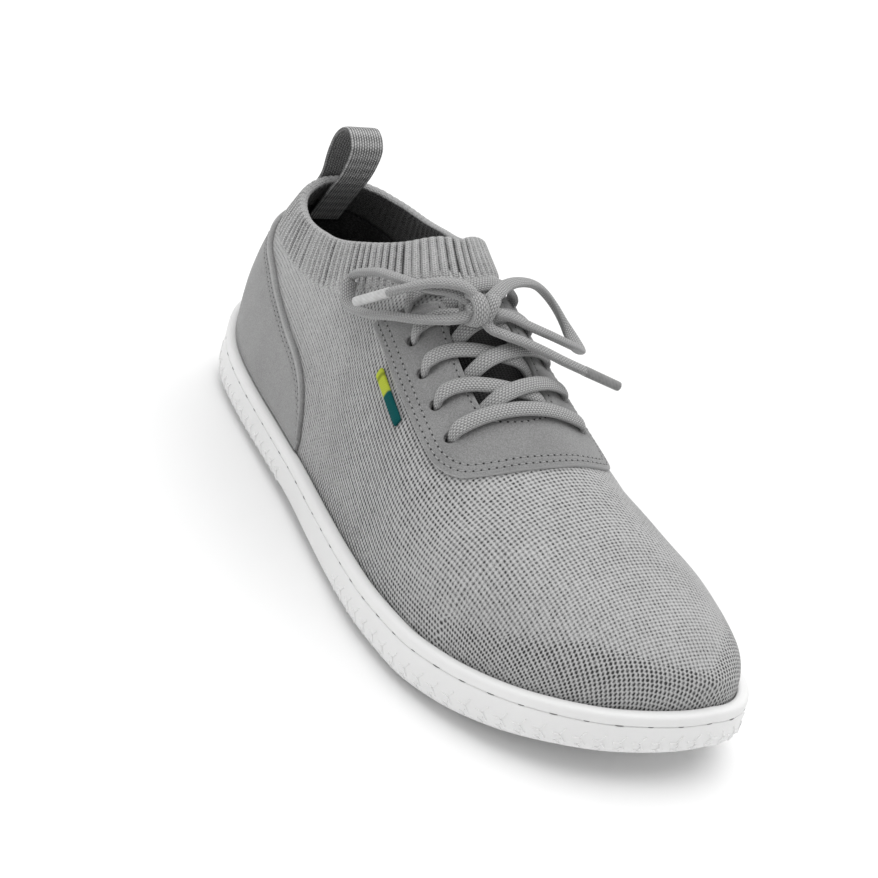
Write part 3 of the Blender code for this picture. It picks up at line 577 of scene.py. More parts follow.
class Grids:
    """Grids of points in millimetres that become one welded mesh."""

    def __init__(self):
        self.points = []
        self.faces = []
        self.maps = []
        self.looks = []
        self.values = {}
        self.count = 0

    def add(self, points, uv=None, look=0, around=False, **values):
        """A grid of rows and columns; around closes each row, whose map then has one more column."""
        rows, columns = points.shape[:2]
        if uv is None:
            uv = np.zeros((rows, columns + around, 2))
        index = self.count + np.arange(rows * columns).reshape(rows, columns)
        if around:
            index = np.concatenate([index, index[:, :1]], axis=1)
        corners = (index[:-1, :-1], index[:-1, 1:], index[1:, 1:], index[1:, :-1])
        self.faces.append(np.stack(corners, axis=-1).reshape(-1, 4))
        places = (uv[:-1, :-1], uv[:-1, 1:], uv[1:, 1:], uv[1:, :-1])
        self.maps.append(np.stack(places, axis=2).reshape(-1, 2))
        self.points.append(points.reshape(-1, 3))
        self.looks.append(np.full(len(self.faces[-1]), look))
        for name, value in values.items():
            spread = np.broadcast_to(value, (rows, columns)).reshape(-1)
            self.values.setdefault(name, {})[self.count] = spread
        self.count += rows * columns

    def wall(self, outside, inside, look=0):
        """A strip that joins two lines of points."""
        self.add(np.stack([outside, inside]), look=look)

    def rim(self, top, under, **values):
        """Strips that join two grids along all four sides."""
        for side in (np.s_[0], np.s_[-1], np.s_[:, 0], np.s_[:, -1]):
            self.add(np.stack([top[side], under[side]]), **values)

    def piece(self, name, materials):
        """One object from all the grids, welded, with its faces pointing out."""
        mesh = bpy.data.meshes.new(name)
        points = np.concatenate(self.points) * MM
        faces = np.concatenate(self.faces)
        mesh.from_pydata(points.tolist(), [], faces.tolist())
        layer = mesh.uv_layers.new(name="cloth")
        layer.data.foreach_set("uv", np.concatenate(self.maps).astype(np.float32).ravel())
        mesh.polygons.foreach_set("material_index", np.concatenate(self.looks).astype(np.int32))
        for value_name, found in self.values.items():
            values = np.zeros(len(points), np.float32)
            for start, spread in found.items():
                values[start : start + len(spread)] = spread
            mesh.attributes.new(value_name, "FLOAT", "POINT").data.foreach_set("value", values)
        body = bmesh.new()
        body.from_mesh(mesh)
        bmesh.ops.remove_doubles(body, verts=body.verts, dist=WELD)
        bmesh.ops.dissolve_degenerate(body, edges=body.edges, dist=WELD / 100)
        bmesh.ops.recalc_face_normals(body, faces=body.faces)
        if body.calc_volume(signed=True) < 0:
            bmesh.ops.reverse_faces(body, faces=body.faces)
        body.to_mesh(mesh)
        body.free()
        for material in materials:
            mesh.materials.append(material)
        mesh.polygons.foreach_set("use_smooth", [True] * len(mesh.polygons))
        made = bpy.data.objects.new(name, mesh)
        bpy.context.scene.collection.objects.link(made)
        return made


def dress(piece, slot, *nodes):
    """Lets a finished piece ride with the shoe and stand for its plain solids."""
    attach(piece, "root")
    if nodes:
        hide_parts(*nodes)
    triangles = sum(len(face.vertices) - 2 for face in piece.data.polygons)
    print(f"{piece.name}: {triangles} triangles", "for " + ", ".join(nodes) if nodes else "")
    return piece


def tube(points, ups, width, height, sides, closed=False):
    """Rings of an oval section round a line, and their map: distance along, share around."""
    points = np.asarray(points, float)
    if closed:
        run = np.roll(points, -1, axis=0) - np.roll(points, 1, axis=0)
        run /= np.linalg.norm(run, axis=1)[:, None]
    else:
        run = direction(points)
    ups = np.broadcast_to(np.asarray(ups, float), points.shape)
    ups = ups - (ups * run).sum(axis=1)[:, None] * run
    ups /= np.linalg.norm(ups, axis=1)[:, None]
    sideways = np.cross(run, ups)
    turn = np.arange(sides) * 2 * np.pi / sides
    width = np.broadcast_to(np.asarray(width, float), (len(points),))[:, None, None]
    height = np.broadcast_to(np.asarray(height, float), (len(points),))[:, None, None]
    rings = (
        points[:, None]
        + np.cos(turn)[None, :, None] * sideways[:, None] * width / 2
        + np.sin(turn)[None, :, None] * ups[:, None] * height / 2
    )
    way = way_along(points)
    uv = np.zeros((len(points), sides + 1, 2))
    uv[..., 0] = way[:, None]
    uv[..., 1] = np.linspace(0, 1, sides + 1)[None, :]
    return rings, uv


def smooth_line(points, count):
    """Even points along a soft curve through the given ones."""
    points = np.asarray(points, float)
    way = way_along(points)
    fine = np.linspace(0, way[-1], 600)
    slope = np.gradient(points, way, axis=0)
    i = np.clip(np.searchsorted(way, fine) - 1, 0, len(way) - 2)
    h = (way[i + 1] - way[i])[:, None]
    t = ((fine - way[i]) / h[:, 0])[:, None]
    line = (
        points[i] * (1 + 2 * t) * (1 - t) ** 2
        + h * slope[i] * t * (1 - t) ** 2
        + points[i + 1] * t * t * (3 - 2 * t)
        + h * slope[i + 1] * t * t * (t - 1)
    )
    along = way_along(line)
    even = np.linspace(0, along[-1], count)
    return np.stack([np.interp(even, along, line[:, k]) for k in range(3)], axis=1)


def length_of(line):
    return float(np.linalg.norm(np.diff(line, axis=0), axis=1).sum())


def add_across(grids, loop):
    """Closes a loop by strips from its outer to its inner half."""
    half = len(loop) // 2
    other = np.concatenate([loop[:1], loop[half:][::-1]])
    grids.add(np.stack([loop[: half + 1], other]))


def add_tube(grids, rings, uv=None):
    """A tube with both of its ends closed."""
    grids.add(rings, uv, around=True)
    for ring_end in (rings[0], rings[-1]):
        add_across(grids, ring_end)


print("helpers ready: Grids, tube, smooth_line, add_tube")

# %% [markdown]
# ## Shader maths as expressions
# A weave is a formula over two distances. Wiring its Math nodes by hand would be unreadable, so a small
# class wraps a socket: adding or multiplying two wrapped sockets adds the node. Everything else, such as
# noise, a ramp or a bump, goes through its one node method.

# %% A socket that can calculate


class Wire:
    """One socket of a material, with Python's operators."""

    def __init__(self, tree, socket=None):
        self.tree = tree
        self.socket = socket

    def node(self, kind, settings=(), values=(), output=0):
        made = self.tree.nodes.new(kind)
        for key, value in dict(settings).items():
            if key == "stops":
                ramp = made.color_ramp
                while len(ramp.elements) < len(value):
                    ramp.elements.new(0.5)
                for element, (position, color) in zip(ramp.elements, value):
                    element.position = position
                    element.color = (*color, 1.0)
            else:
                setattr(made, key, value)
        for key, value in dict(values).items():
            if isinstance(value, Wire):
                self.tree.links.new(value.socket, made.inputs[key])
            else:
                made.inputs[key].default_value = value
        return Wire(self.tree, made.outputs[output])

    def maths(self, operation, *values):
        return self.node("ShaderNodeMath", {"operation": operation}, dict(enumerate(values)))

    def __add__(self, other):
        return self.maths("ADD", self, other)

    __radd__ = __add__

    def __mul__(self, other):
        return self.maths("MULTIPLY", self, other)

    __rmul__ = __mul__

    def __sub__(self, other):
        return self.maths("SUBTRACT", self, other)

    def __rsub__(self, other):
        return self.maths("SUBTRACT", other, self)

    def __truediv__(self, other):
        return self.maths("DIVIDE", self, other)

    def __rtruediv__(self, other):
        return self.maths("DIVIDE", other, self)

    def __mod__(self, other):
        return self.maths("FLOORED_MODULO", self, other)

    def __pow__(self, other):
        return self.maths("POWER", self, other)

    def __abs__(self):
        return self.maths("ABSOLUTE", self)

    def floor(self):
        return self.maths("FLOOR", self)

    def fract(self):
        return self.maths("FRACT", self)

    def wave(self):
        """From 0 to 1 and back once for each whole number."""
        return 0.5 - 0.5 * self.maths("COSINE", self * (2 * math.pi))

    def over(self, low, high):
        """0 below low, 1 above high, and soft in between."""
        settings = {"interpolation_type": "SMOOTHSTEP"}
        return self.node("ShaderNodeMapRange", settings, {0: self, 1: low, 2: high, 3: 0.0, 4: 1.0})

    def mix(self, first, second):
        """Between two colours, by this value."""
        values = {0: self, 6: first, 7: second}
        return self.node("ShaderNodeMix", {"data_type": "RGBA"}, values, output=2)


def new_finish(name, color, roughness, **constants):
    """A material with one Principled shader, and a Wire to build on."""
    material = bpy.data.materials.new(name)
    material.use_nodes = True
    shader = material.node_tree.nodes["Principled BSDF"]
    shader.inputs["Base Color"].default_value = (*color, 1.0)
    shader.inputs["Roughness"].default_value = roughness
    for key, value in constants.items():
        shader.inputs[key.replace("_", " ")].default_value = value
    return material, shader, Wire(material.node_tree)


def plug(wire, shader, socket):
    wire.tree.links.new(wire.socket, shader.inputs[socket])


def bump(height, shader, distance, strength=1.0):
    """Relief from a height from 0 to 1, worth a distance in metres."""
    values = {"Strength": strength, "Distance": distance, "Height": height}
    plug(height.node("ShaderNodeBump", values=values), shader, "Normal")


def grey(value):
    return (value, value, value, 1.0)


def cloth_map(start):
    """The piece's own map as two wires in millimetres."""
    both = start.node("ShaderNodeUVMap", {"uv_map": "cloth"})
    return (
        start.node("ShaderNodeSeparateXYZ", values={0: both}, output=0),
        start.node("ShaderNodeSeparateXYZ", values={0: both}, output=1),
    )


def on_object(start):
    return start.node("ShaderNodeTexCoord", output=3)


def noise(start, scale, detail=2.0, roughness=0.5):
    """Noise from 0 to 1 on the object's own coordinates, in metres."""
    values = {"Vector": on_object(start), "Scale": scale, "Detail": detail, "Roughness": roughness}
    return start.node("ShaderNodeTexNoise", {"noise_dimensions": "3D"}, values)


print("shader maths ready")

# %% [markdown]
# ## The knit
# The real upper is flat knitted in one piece. Its loops stand in columns, the wales, and rows, the
# courses. Between four of them is a dark point, and towards the toe the knitter opens these points to
# pin holes for air and staggers them. An image could show that, but a formula on the map stays sharp at
# every size: a lattice of cells with a hole in the middle and a light loop on each corner.

# %% Knit finish
KNIT_COURSE = 1.30
KNIT_WALE = 1.60


def knit_finish(name, light, dark):
    """The lattice of loops; the mesh says how open it is at each place, and how much painted shade darkens
    it.
    """
    material, shader, start = new_finish(name, (light,) * 3, 0.92, Sheen_Weight=0.25, Sheen_Roughness=0.6)
    shader.inputs["Specular IOR Level"].default_value = 0.25
    u, v = cloth_map(start)
    openness = start.node("ShaderNodeAttribute", {"attribute_name": "open_knit"}, output=2)
    side_shade = start.node("ShaderNodeAttribute", {"attribute_name": "deep_knit"}, output=2)
    wobble = noise(start, 900.0, 1.0) - 0.5
    drift = noise(start, 60.0, 2.0) - 0.5
    wale = v / KNIT_WALE + 0.26 * wobble
    shift = 0.5 * (wale.floor() % 2.0) * openness.over(0.55, 0.7)
    x = (wale.fract() - 0.5) * KNIT_WALE
    y = ((u / KNIT_COURSE + shift + 0.26 * wobble).fract() - 0.5) * KNIT_COURSE
    wide = 0.40 + 0.10 * openness + 0.10 * drift
    tall = 0.34 + 0.12 * openness
    away = ((x / wide) ** 2.0 + (y / tall) ** 2.0) ** 0.5
    hole = 1.0 - away.over(0.40, 1.35)
    across, along = KNIT_WALE / 2 - abs(x), KNIT_COURSE / 2 - abs(y)
    strand = 1.0 - ((across / 0.45) ** 2.0 + (along / 0.42) ** 2.0).over(0.1, 1.7)
    fleck = noise(start, 2600.0, 2.0, 0.7)
    pulled = noise(start, 520.0, 1.0).over(0.25, 0.75)
    # Painted shade: on the knit's outer side the holes and the whole tone are darkened, where less light
    # falls.
    depth = hole * (0.24 + 0.62 * openness) * (0.5 + 0.9 * pulled) * (1.0 + 0.6 * side_shade)
    light_loop = strand * (0.12 + 0.46 * openness) * (1.4 - 0.8 * pulled)
    tone = 0.84 - 0.12 * side_shade - depth + light_loop + 1.3 * (fleck - 0.5) + 0.3 * drift
    color = tone.over(0.0, 1.25).mix(grey(dark), grey(light))
    plug(color, shader, "Base Color")
    height = 1.0 - hole * (0.45 + 0.55 * openness) + 0.3 * strand + 0.2 * fleck
    bump(height, shader, 0.00045, 0.8)
    return material


knit_grey = knit_finish("knit_grey", 0.55, 0.03)
print("knit: wales", KNIT_WALE, "mm and courses", KNIT_COURSE, "mm apart")

# %% Lining finish


def lining_finish():
    """The inside of the knit: dark heather terry."""
    material, shader, start = new_finish("lining_dark", (0.05,) * 3, 0.95, Sheen_Weight=0.2)
    fleck = noise(start, 1500.0, 3.0, 0.7)
    cloud = noise(start, 120.0, 2.0)
    color = (fleck * 0.75 + cloud * 0.25).over(0.42, 0.72).mix(grey(0.012), grey(0.11))
    plug(color, shader, "Base Color")
    bump(fleck, shader, 0.0006, 0.6)
    return material


lining_dark = lining_finish()
print("lining made")

# %% [markdown]
# ## The upper
# The shell is lofted as two half grids, outer and inner side, that share the ridge where the knit closes
# and part at the collar and at the throat. Each has an outside and an inside, two millimetres apart.
# Solidify could add the wall, but the two offsets from the same function keep the lining's own map.

# %% The knit shell
way = np.linspace(0, 1, 121)
(rim_a, rim_w), (edge_a, edge_w) = collar_lines(way)
(_, rim_w_in), (_, edge_w_in) = collar_lines(2 - way)
UNDER_CUFF = 0.16
body_a = edge_a + (rim_a - edge_a) * UNDER_CUFF
body_top = {
    -1: -(edge_w + (rim_w - edge_w) * UNDER_CUFF),
    1: edge_w_in + (rim_w_in - edge_w_in) * UNDER_CUFF,
}
BODY_FRONT = float(body_a[-1])
THROAT_A = (float(a_of(THROAT[0])), float(a_of(THROAT[1])))


def throat_half(a):
    share = np.clip((a - THROAT_A[0]) / (THROAT_A[1] - THROAT_A[0]), 0, 1)
    return THROAT_HALF * np.clip(4 * share * (1 - share), 0, 1) ** 0.22 * ((share > 0) & (share < 1))


def shell_top(a, side):
    """Where the knit ends upwards: under the cuff, at the throat, or at the ridge."""
    half = throat_half(a)
    at_throat = half + side * THROAT_MIDDLE * half / THROAT_HALF
    return np.where(a < BODY_FRONT, np.interp(a, body_a, body_top[side]), at_throat)


def open_knit(a, w):
    """How open the knit is: pin holes over the toe and low down, half open at the front, closed behind."""
    share = share_of(a)
    foot = np.abs(w_drop(a, w))
    at_toe = np.clip((share - 0.66) / 0.26, 0, 1) ** 1.5
    reach = 15.0 + 9.0 * at_toe
    low_band = np.clip((reach - foot) / ((0.95 - 0.55 * at_toe) * reach), 0, 1)
    low_band = soft(low_band * np.clip((share - 0.3) / 0.2, 0, 1))
    medial = 0.5 * np.clip(np.asarray(w) * 3, 0, 1) * np.clip((0.6 - share) / 0.2, 0, 1)
    front = 0.12 + (0.42 - 0.2 * np.clip(np.asarray(w) * 2.5, 0, 1)) * soft_step(share, 0.30, 0.60)
    front = front - 0.2 * np.clip((share - 0.72) / 0.16, 0, 1)
    return np.clip(np.maximum(np.maximum(low_band, medial), front), 0, 1)


def deep_knit(a, w):
    """Painted shade on the knit's outer side, where less light falls: how much darker each place is painted.
    """
    share = share_of(a)
    outer = soft_step(-np.asarray(w), 0.30, 0.65)
    return outer * soft_step(share, 0.18, 0.52) * soft_step(-share, -0.80, -0.58)


def w_drop(a, w):
    """Distance over the cloth up from the sole's lip, in millimetres."""
    a, w = np.broadcast_arrays(np.asarray(a, float), np.asarray(w, float))
    here = cloth_uv(a, w)
    foot = cloth_uv(a, np.sign(w + 1e-9))
    return np.linalg.norm(here - foot, axis=-1)


stations = np.concatenate(
    [
        np.linspace(0, 0.36, 56)[:-1],
        0.36 + (BODY_FRONT - 0.36) * np.sin(np.linspace(0, np.pi / 2, 26)),
        THROAT_A[0] + (THROAT_A[1] - THROAT_A[0]) * (1 - np.cos(np.linspace(0, np.pi, 33))) / 2,
        np.linspace(THROAT_A[1], 1, 64)[1:],
    ]
)
LEVELS = 40
shell = Grids()
for side in (-1, 1):
    tops = shell_top(stations, side)
    skirt = 1 + (lip_z(stations) - cup_z(stations) - 0.4) / 100
    levels = np.concatenate([skirt[:, None], 1 - (1 - tops[:, None]) * np.linspace(0, 1, LEVELS)], axis=1)
    a = np.broadcast_to(stations[:, None], levels.shape)
    w = side * levels
    outside = raised(a, w, 0.0)
    inside = raised(a, w, -WALL)
    uv = cloth_uv(a, w)
    shell.add(outside, uv, open_knit=open_knit(a, w), deep_knit=deep_knit(a, w))
    shell.add(inside, uv, look=1)
    shell.wall(outside[:, 0], inside[:, 0], look=1)
    at_collar = stations <= BODY_FRONT + 1e-9
    in_throat = (stations >= THROAT_A[0] - 1e-9) & (stations <= THROAT_A[1] + 1e-9)
    for part in (at_collar, in_throat):
        shell.wall(outside[part, -1], inside[part, -1])
upper = shell.piece("knit_shell", [knit_grey, lining_dark])
print("shell:", len(upper.data.polygons), "faces")

# %% [markdown]
# ## The ribbed cuff
# The collar is knitted in one with the shell, but in ribs that stretch round the ankle. Its plain ring is
# a closed grid with a rounded rim. The ribs repeat by a rule, so Geometry Nodes press them in: each point
# moves along its stored direction by a wave whose number and depth are the tree's inputs.

# %% A ring for the collar
CUFF_RIBS = 88
CUFF_COLUMNS = CUFF_RIBS * 14
fine_way = np.linspace(0, 2, 2001)
(fine_rim_a, fine_rim_w), (fine_edge_a, fine_edge_w) = collar_lines(fine_way)
middle_line = surface((fine_rim_a + fine_edge_a) / 2, (fine_rim_w + fine_edge_w) / 2)
middle_way = way_along(middle_line)
CUFF_LENGTH = middle_way[-1]
even = np.arange(CUFF_COLUMNS) / CUFF_COLUMNS
cuff_way = np.interp(even * CUFF_LENGTH, middle_way, fine_way)
(rim_a, rim_w), (edge_a, edge_w) = collar_lines(cuff_way)

# Place between the lower edge 0 and the rim 1, distance out, and how strongly the ribs show there.
CUFF_PROFILE = (
    (-0.05, -0.60, 0.0),
    (-0.04, -0.05, 0.2),
    (0.00, 0.10, 0.5),
    (0.04, 0.40, 0.9),
    (0.10, 0.62, 1.0),
    (0.20, 0.70, 1.0),
    (0.30, 0.72, 1.0),
    (0.40, 0.74, 1.0),
    (0.50, 0.74, 1.0),
    (0.60, 0.76, 1.0),
    (0.70, 0.78, 1.0),
    (0.80, 0.80, 1.0),
    (0.88, 0.80, 0.9),
    (0.94, 0.72, 0.6),
    (0.975, 0.45, 0.35),
    (1.00, -0.10, 0.25),
    (1.01, -0.90, 0.2),
    (1.01, -1.60, 0.2),
    (0.99, -2.30, 0.25),
    (0.95, -2.70, 0.3),
    (0.85, -2.80, 0.4),
    (0.65, -2.80, 0.4),
    (0.45, -2.80, 0.4),
    (0.25, -2.80, 0.3),
    (0.08, -2.70, 0.1),
    (-0.02, -2.30, 0.0),
)
profile = np.array(CUFF_PROFILE)
profile = np.concatenate([profile, profile[:1]])
ring_a = edge_a[None, :] + (rim_a - edge_a)[None, :] * profile[:, 0:1]
ring_w = edge_w[None, :] + (rim_w - edge_w)[None, :] * profile[:, 0:1]
ring = raised(ring_a, ring_w, profile[:, 1:2] * np.ones_like(ring_a))
out = facing(ring_a, ring_w)
height = np.linalg.norm(np.diff(ring, axis=0), axis=2)
ring_uv = np.zeros((len(profile), CUFF_COLUMNS + 1, 2))
ring_uv[..., 0] = np.linspace(0, CUFF_LENGTH, CUFF_COLUMNS + 1)[None, :]
ring_uv[1:, :-1, 1] = np.cumsum(height, axis=0)
ring_uv[:, -1, 1] = ring_uv[:, 0, 1]
cuff_grid = Grids()
inside_face = (np.arange(len(profile)) >= 19).astype(float)[:, None]
cuff_grid.add(
    ring,
    ring_uv,
    around=True,
    turn_share=even[None, :] * np.ones((len(profile), 1)),
    rib_share=profile[:, 2:3] * np.ones((1, CUFF_COLUMNS)),
    out_x=out[..., 0],
    out_y=out[..., 1],
    out_z=out[..., 2],
    lining=inside_face * np.ones((1, CUFF_COLUMNS)),
)
print("cuff:", round(CUFF_LENGTH), "mm round, a rib every", round(CUFF_LENGTH / CUFF_RIBS, 2), "mm")

# %% A small kit for Geometry Nodes


class Tree:
    """A Geometry Nodes tree whose sizes are named inputs."""

    def __init__(self, name, **inputs):
        self.group = bpy.data.node_groups.new(name, "GeometryNodeTree")
        self.ids = {}
        face = self.group.interface
        face.new_socket("Geometry", in_out="INPUT", socket_type="NodeSocketGeometry")
        for key, kind in inputs.items():
            made = face.new_socket(key.replace("_", " "), in_out="INPUT", socket_type="NodeSocket" + kind)
            self.ids[key] = made.identifier
        face.new_socket("Geometry", in_out="OUTPUT", socket_type="NodeSocketGeometry")
        self.start = self.group.nodes.new("NodeGroupInput")
        self.end = self.group.nodes.new("NodeGroupOutput")

    def node(self, kind, settings=(), values=(), output=0):
        made = self.group.nodes.new(kind)
        for key, value in dict(settings).items():
            setattr(made, key, value)
        for key, value in dict(values).items():
            if isinstance(value, bpy.types.NodeSocket):
                self.group.links.new(value, made.inputs[key])
            else:
                made.inputs[key].default_value = value
        return made.outputs[output]

    def value(self, key):
        return self.start.outputs[key.replace("_", " ")]

    def stored(self, name, kind="FLOAT"):
        return self.node("GeometryNodeInputNamedAttribute", {"data_type": kind}, {"Name": name})

    def finish(self, geometry):
        whole = self.node("GeometryNodeRealizeInstances", values={"Geometry": geometry})
        values = {"Geometry": whole, "Material": self.value("Material")}
        painted = self.node("GeometryNodeSetMaterial", values=values)
        self.group.links.new(painted, self.end.inputs[0])

    def run(self, base, name, **settings):
        """The tree's result on an object as a plain mesh; the object it ran on is removed."""
        modifier = base.modifiers.new(name, "NODES")
        modifier.node_group = self.group
        for key, value in settings.items():
            modifier[self.ids[key]] = value
        graph = bpy.context.evaluated_depsgraph_get()
        graph.update()
        mesh = bpy.data.meshes.new_from_object(base.evaluated_get(graph), depsgraph=graph)
        mesh.name = name
        bpy.data.objects.remove(base, do_unlink=True)
        made = bpy.data.objects.new(name, mesh)
        bpy.context.scene.collection.objects.link(made)
        mesh.polygons.foreach_set("use_smooth", [True] * len(mesh.polygons))
        return made


def maths(tree, operation, *values):
    return tree.node("ShaderNodeMath", {"operation": operation}, dict(enumerate(values)))


print("kit ready")

# %% Press the ribs into the cuff


def rib_finish():
    """Knitted ribs: light on top, painted shade in the grooves, with small slanted loops."""
    material, shader, start = new_finish("knit_ribs", (0.4,) * 3, 0.92, Sheen_Weight=0.25)
    shader.inputs["Specular IOR Level"].default_value = 0.25
    u, v = cloth_map(start)
    lining = start.node("ShaderNodeAttribute", {"attribute_name": "lining"}, output=2)
    rib_share = start.node("ShaderNodeAttribute", {"attribute_name": "rib_share"}, output=2)
    ribs = (u * (CUFF_RIBS / float(CUFF_LENGTH))).wave()
    fine = (u * (4 * CUFF_RIBS / float(CUFF_LENGTH))).wave()
    lean = abs((u * (2 * CUFF_RIBS / float(CUFF_LENGTH))).fract() - 0.5)
    loops = (v / 0.92 + lean * 1.2).wave()
    fleck = noise(start, 2300.0, 2.0, 0.75)
    drift = noise(start, 90.0, 2.0)
    number = (u * (CUFF_RIBS / float(CUFF_LENGTH)) + 0.5).floor()
    some = start.node("ShaderNodeTexWhiteNoise", {"noise_dimensions": "1D"}, {"W": number})
    # Painted shade: the grooves between the pressed ribs are darkened, more on some ribs than on others.
    groove_shade = (1.0 - ribs) ** 2.6 * (0.25 + 0.75 * some) * (0.55 + 0.9 * noise(start, 330.0, 1.0))
    tone = 0.76 - 0.85 * groove_shade + 0.28 * (fine - 0.5) + 0.42 * (loops - 0.5) * ribs + 1.3 * (fleck - 0.5)
    tone = tone + 0.3 * (drift - 0.5)
    plain = 0.72 + 0.7 * (fleck - 0.5) + 0.2 * (loops - 0.5)
    tone = tone * rib_share + plain * (1.0 - rib_share)
    color = tone.over(-0.1, 1.1).mix(grey(0.03), grey(0.60))
    color = lining.mix(color, (fleck.over(0.35, 0.7)).mix(grey(0.015), grey(0.16)))
    plug(color, shader, "Base Color")
    bump(0.6 * loops + 0.3 * fine + 0.35 * fleck, shader, 0.00035, 0.9)
    return material


knit_ribs = rib_finish()
rib_tree = Tree("ribs_round_a_ring", Ribs="Float", Depth="Float", Material="Material")
phase = maths(rib_tree, "MULTIPLY", rib_tree.stored("turn_share"), rib_tree.value("Ribs"))
swing = maths(rib_tree, "COSINE", maths(rib_tree, "MULTIPLY", phase, 2 * math.pi))
narrow = maths(rib_tree, "POWER", maths(rib_tree, "MULTIPLY_ADD", swing, 0.5, 0.5), 2.2)
inward = maths(rib_tree, "MULTIPLY", narrow, rib_tree.value("Depth"))
inward = maths(rib_tree, "MULTIPLY", inward, rib_tree.stored("rib_share"))
inward = maths(rib_tree, "MULTIPLY", inward, -1.0)
outwards = rib_tree.node(
    "ShaderNodeCombineXYZ", values={k: rib_tree.stored("out_" + "xyz"[k]) for k in range(3)}
)
moved = rib_tree.node("ShaderNodeVectorMath", {"operation": "SCALE"}, {0: outwards, "Scale": inward})
pressed = rib_tree.node(
    "GeometryNodeSetPosition", values={"Geometry": rib_tree.start.outputs[0], "Offset": moved}
)
rib_tree.finish(pressed)
ring_base = cuff_grid.piece("cuff_base", [knit_ribs])
cuff = rib_tree.run(ring_base, "ribbed_cuff", Ribs=float(CUFF_RIBS), Depth=0.75 * MM, Material=knit_ribs)
dress(cuff, "knit_grey", "upper")

# %% [markdown]
# ## Stitches, holes and twigs by one rule
# Stitches, pin holes and the moulded pattern of the sole are all one small shape repeated along a line.
# Placing copies by hand would be slow and heavy, so one tree puts a stamp on every point of a line,
# turned to face out of the surface and to run along it. Each point carries both directions.

# %% The repeating tree
repeat = Tree("stamp_on_points", Stamp="Object", Spread="Float", Seed="Int", Material="Material")
stamped = repeat.node("GeometryNodeObjectInfo", values={"Object": repeat.value("Stamp")}, output=4)
turned = repeat.node(
    "FunctionNodeAlignRotationToVector",
    {"axis": "Z"},
    {"Vector": repeat.stored("out", "FLOAT_VECTOR")},
)
turned = repeat.node(
    "FunctionNodeAlignRotationToVector",
    {"axis": "X", "pivot_axis": "Z"},
    {"Rotation": turned, "Vector": repeat.stored("along", "FLOAT_VECTOR")},
)
smaller = maths(repeat, "SUBTRACT", 1.0, repeat.value("Spread"))
larger = maths(repeat, "ADD", 1.0, repeat.value("Spread"))
chance = repeat.node(
    "FunctionNodeRandomValue",
    {"data_type": "FLOAT"},
    {2: smaller, 3: larger, "Seed": repeat.value("Seed")},
    output=1,
)
copies = repeat.node(
    "GeometryNodeInstanceOnPoints",
    values={"Points": repeat.start.outputs[0], "Instance": stamped, "Rotation": turned, "Scale": chance},
)
repeat.finish(copies)


def stamp(name, points, faces):
    """A small shape in millimetres, hidden, that the tree repeats."""
    mesh = bpy.data.meshes.new(name)
    mesh.from_pydata((np.array(points) * MM).tolist(), [], faces)
    body = bmesh.new()
    body.from_mesh(mesh)
    bmesh.ops.remove_doubles(body, verts=body.verts, dist=1e-7)
    bmesh.ops.recalc_face_normals(body, faces=body.faces)
    body.to_mesh(mesh)
    body.free()
    made = bpy.data.objects.new(name, mesh)
    bpy.context.scene.collection.objects.link(made)
    made.hide_render = True
    return made


def capsule_stamp(name, length, width, height):
    """A rounded thread along X, half sunk in the surface at z = 0."""
    sides, rings = 6, 5
    points, faces = [], []
    for i in range(rings):
        t = -1 + 2 * i / (rings - 1)
        swell = max(0.12, 1 - abs(t) ** 3)
        for k in range(sides):
            turn = 2 * math.pi * k / sides
            y, z = math.cos(turn) * width / 2 * swell, math.sin(turn) * height * swell
            points.append((t * length / 2, y, z))
    for i in range(rings - 1):
        for k in range(sides):
            j = (k + 1) % sides
            faces.append((i * sides + k, i * sides + j, (i + 1) * sides + j, (i + 1) * sides + k))
    faces.append(tuple(range(sides)))
    faces.append(tuple((rings - 1) * sides + k for k in range(sides)))
    return stamp(name, points, faces)


def disc_stamp(name, radius):
    """A shallow closed cone, like the dent of a needle or a pin."""
    sides = 8
    points = [(0, 0, -0.05)]
    for k in range(sides):
        turn = 2 * math.pi * k / sides
        points.append((math.cos(turn) * radius, math.sin(turn) * radius, 0.04))
    points.append((0, 0, 0.045))
    faces = []
    for k in range(sides):
        j = (k + 1) % sides
        faces.append((0, 1 + j, 1 + k))
        faces.append((sides + 1, 1 + k, 1 + j))
    return stamp(name, points, faces)


def repeat_on(name, places, outs, alongs, shape, material, spread=0.0, seed=1):
    """The stamp on every place, in millimetres, as one mesh."""
    places = np.asarray(places, float)
    mesh = bpy.data.meshes.new(name + "_points")
    mesh.from_pydata((places * MM).tolist(), [], [])
    for key, vectors in (("out", outs), ("along", alongs)):
        layer = mesh.attributes.new(key, "FLOAT_VECTOR", "POINT")
        layer.data.foreach_set("vector", np.asarray(vectors, np.float32).ravel())
    base = bpy.data.objects.new(name + "_points", mesh)
    bpy.context.scene.collection.objects.link(base)
    return repeat.run(base, name, Stamp=shape, Spread=spread, Seed=seed, Material=material)


def line_on_knit(a, w, off, pitch, skip=0.0):
    """Evenly spaced places along a line of (a, w), with the directions out and along."""
    fine_a, fine_w = np.asarray(a, float), np.asarray(w, float)
    line = raised(fine_a, fine_w, off)
    way = way_along(line)
    count = max(2, int((way[-1] - 2 * skip) / pitch) + 1)
    at = np.linspace(skip, way[-1] - skip, count)
    found_a, found_w = np.interp(at, way, fine_a), np.interp(at, way, fine_w)
    here = raised(found_a, found_w, off)
    run = direction(here)
    return here, facing(found_a, found_w), run


print("repeating tree ready, with", len(repeat.group.nodes), "nodes")

# %% [markdown]
# ## The sole
# A cup sole is moulded in one shot: a thin floor, a wall with a relief, and a band on top that holds the
# upper. Its section is a list of distances in from the edge and heights, and it runs round the plan as
# closed loops. That keeps the band's step and its groove crisp, which a bevelled box would not.

# %% Rubber finish


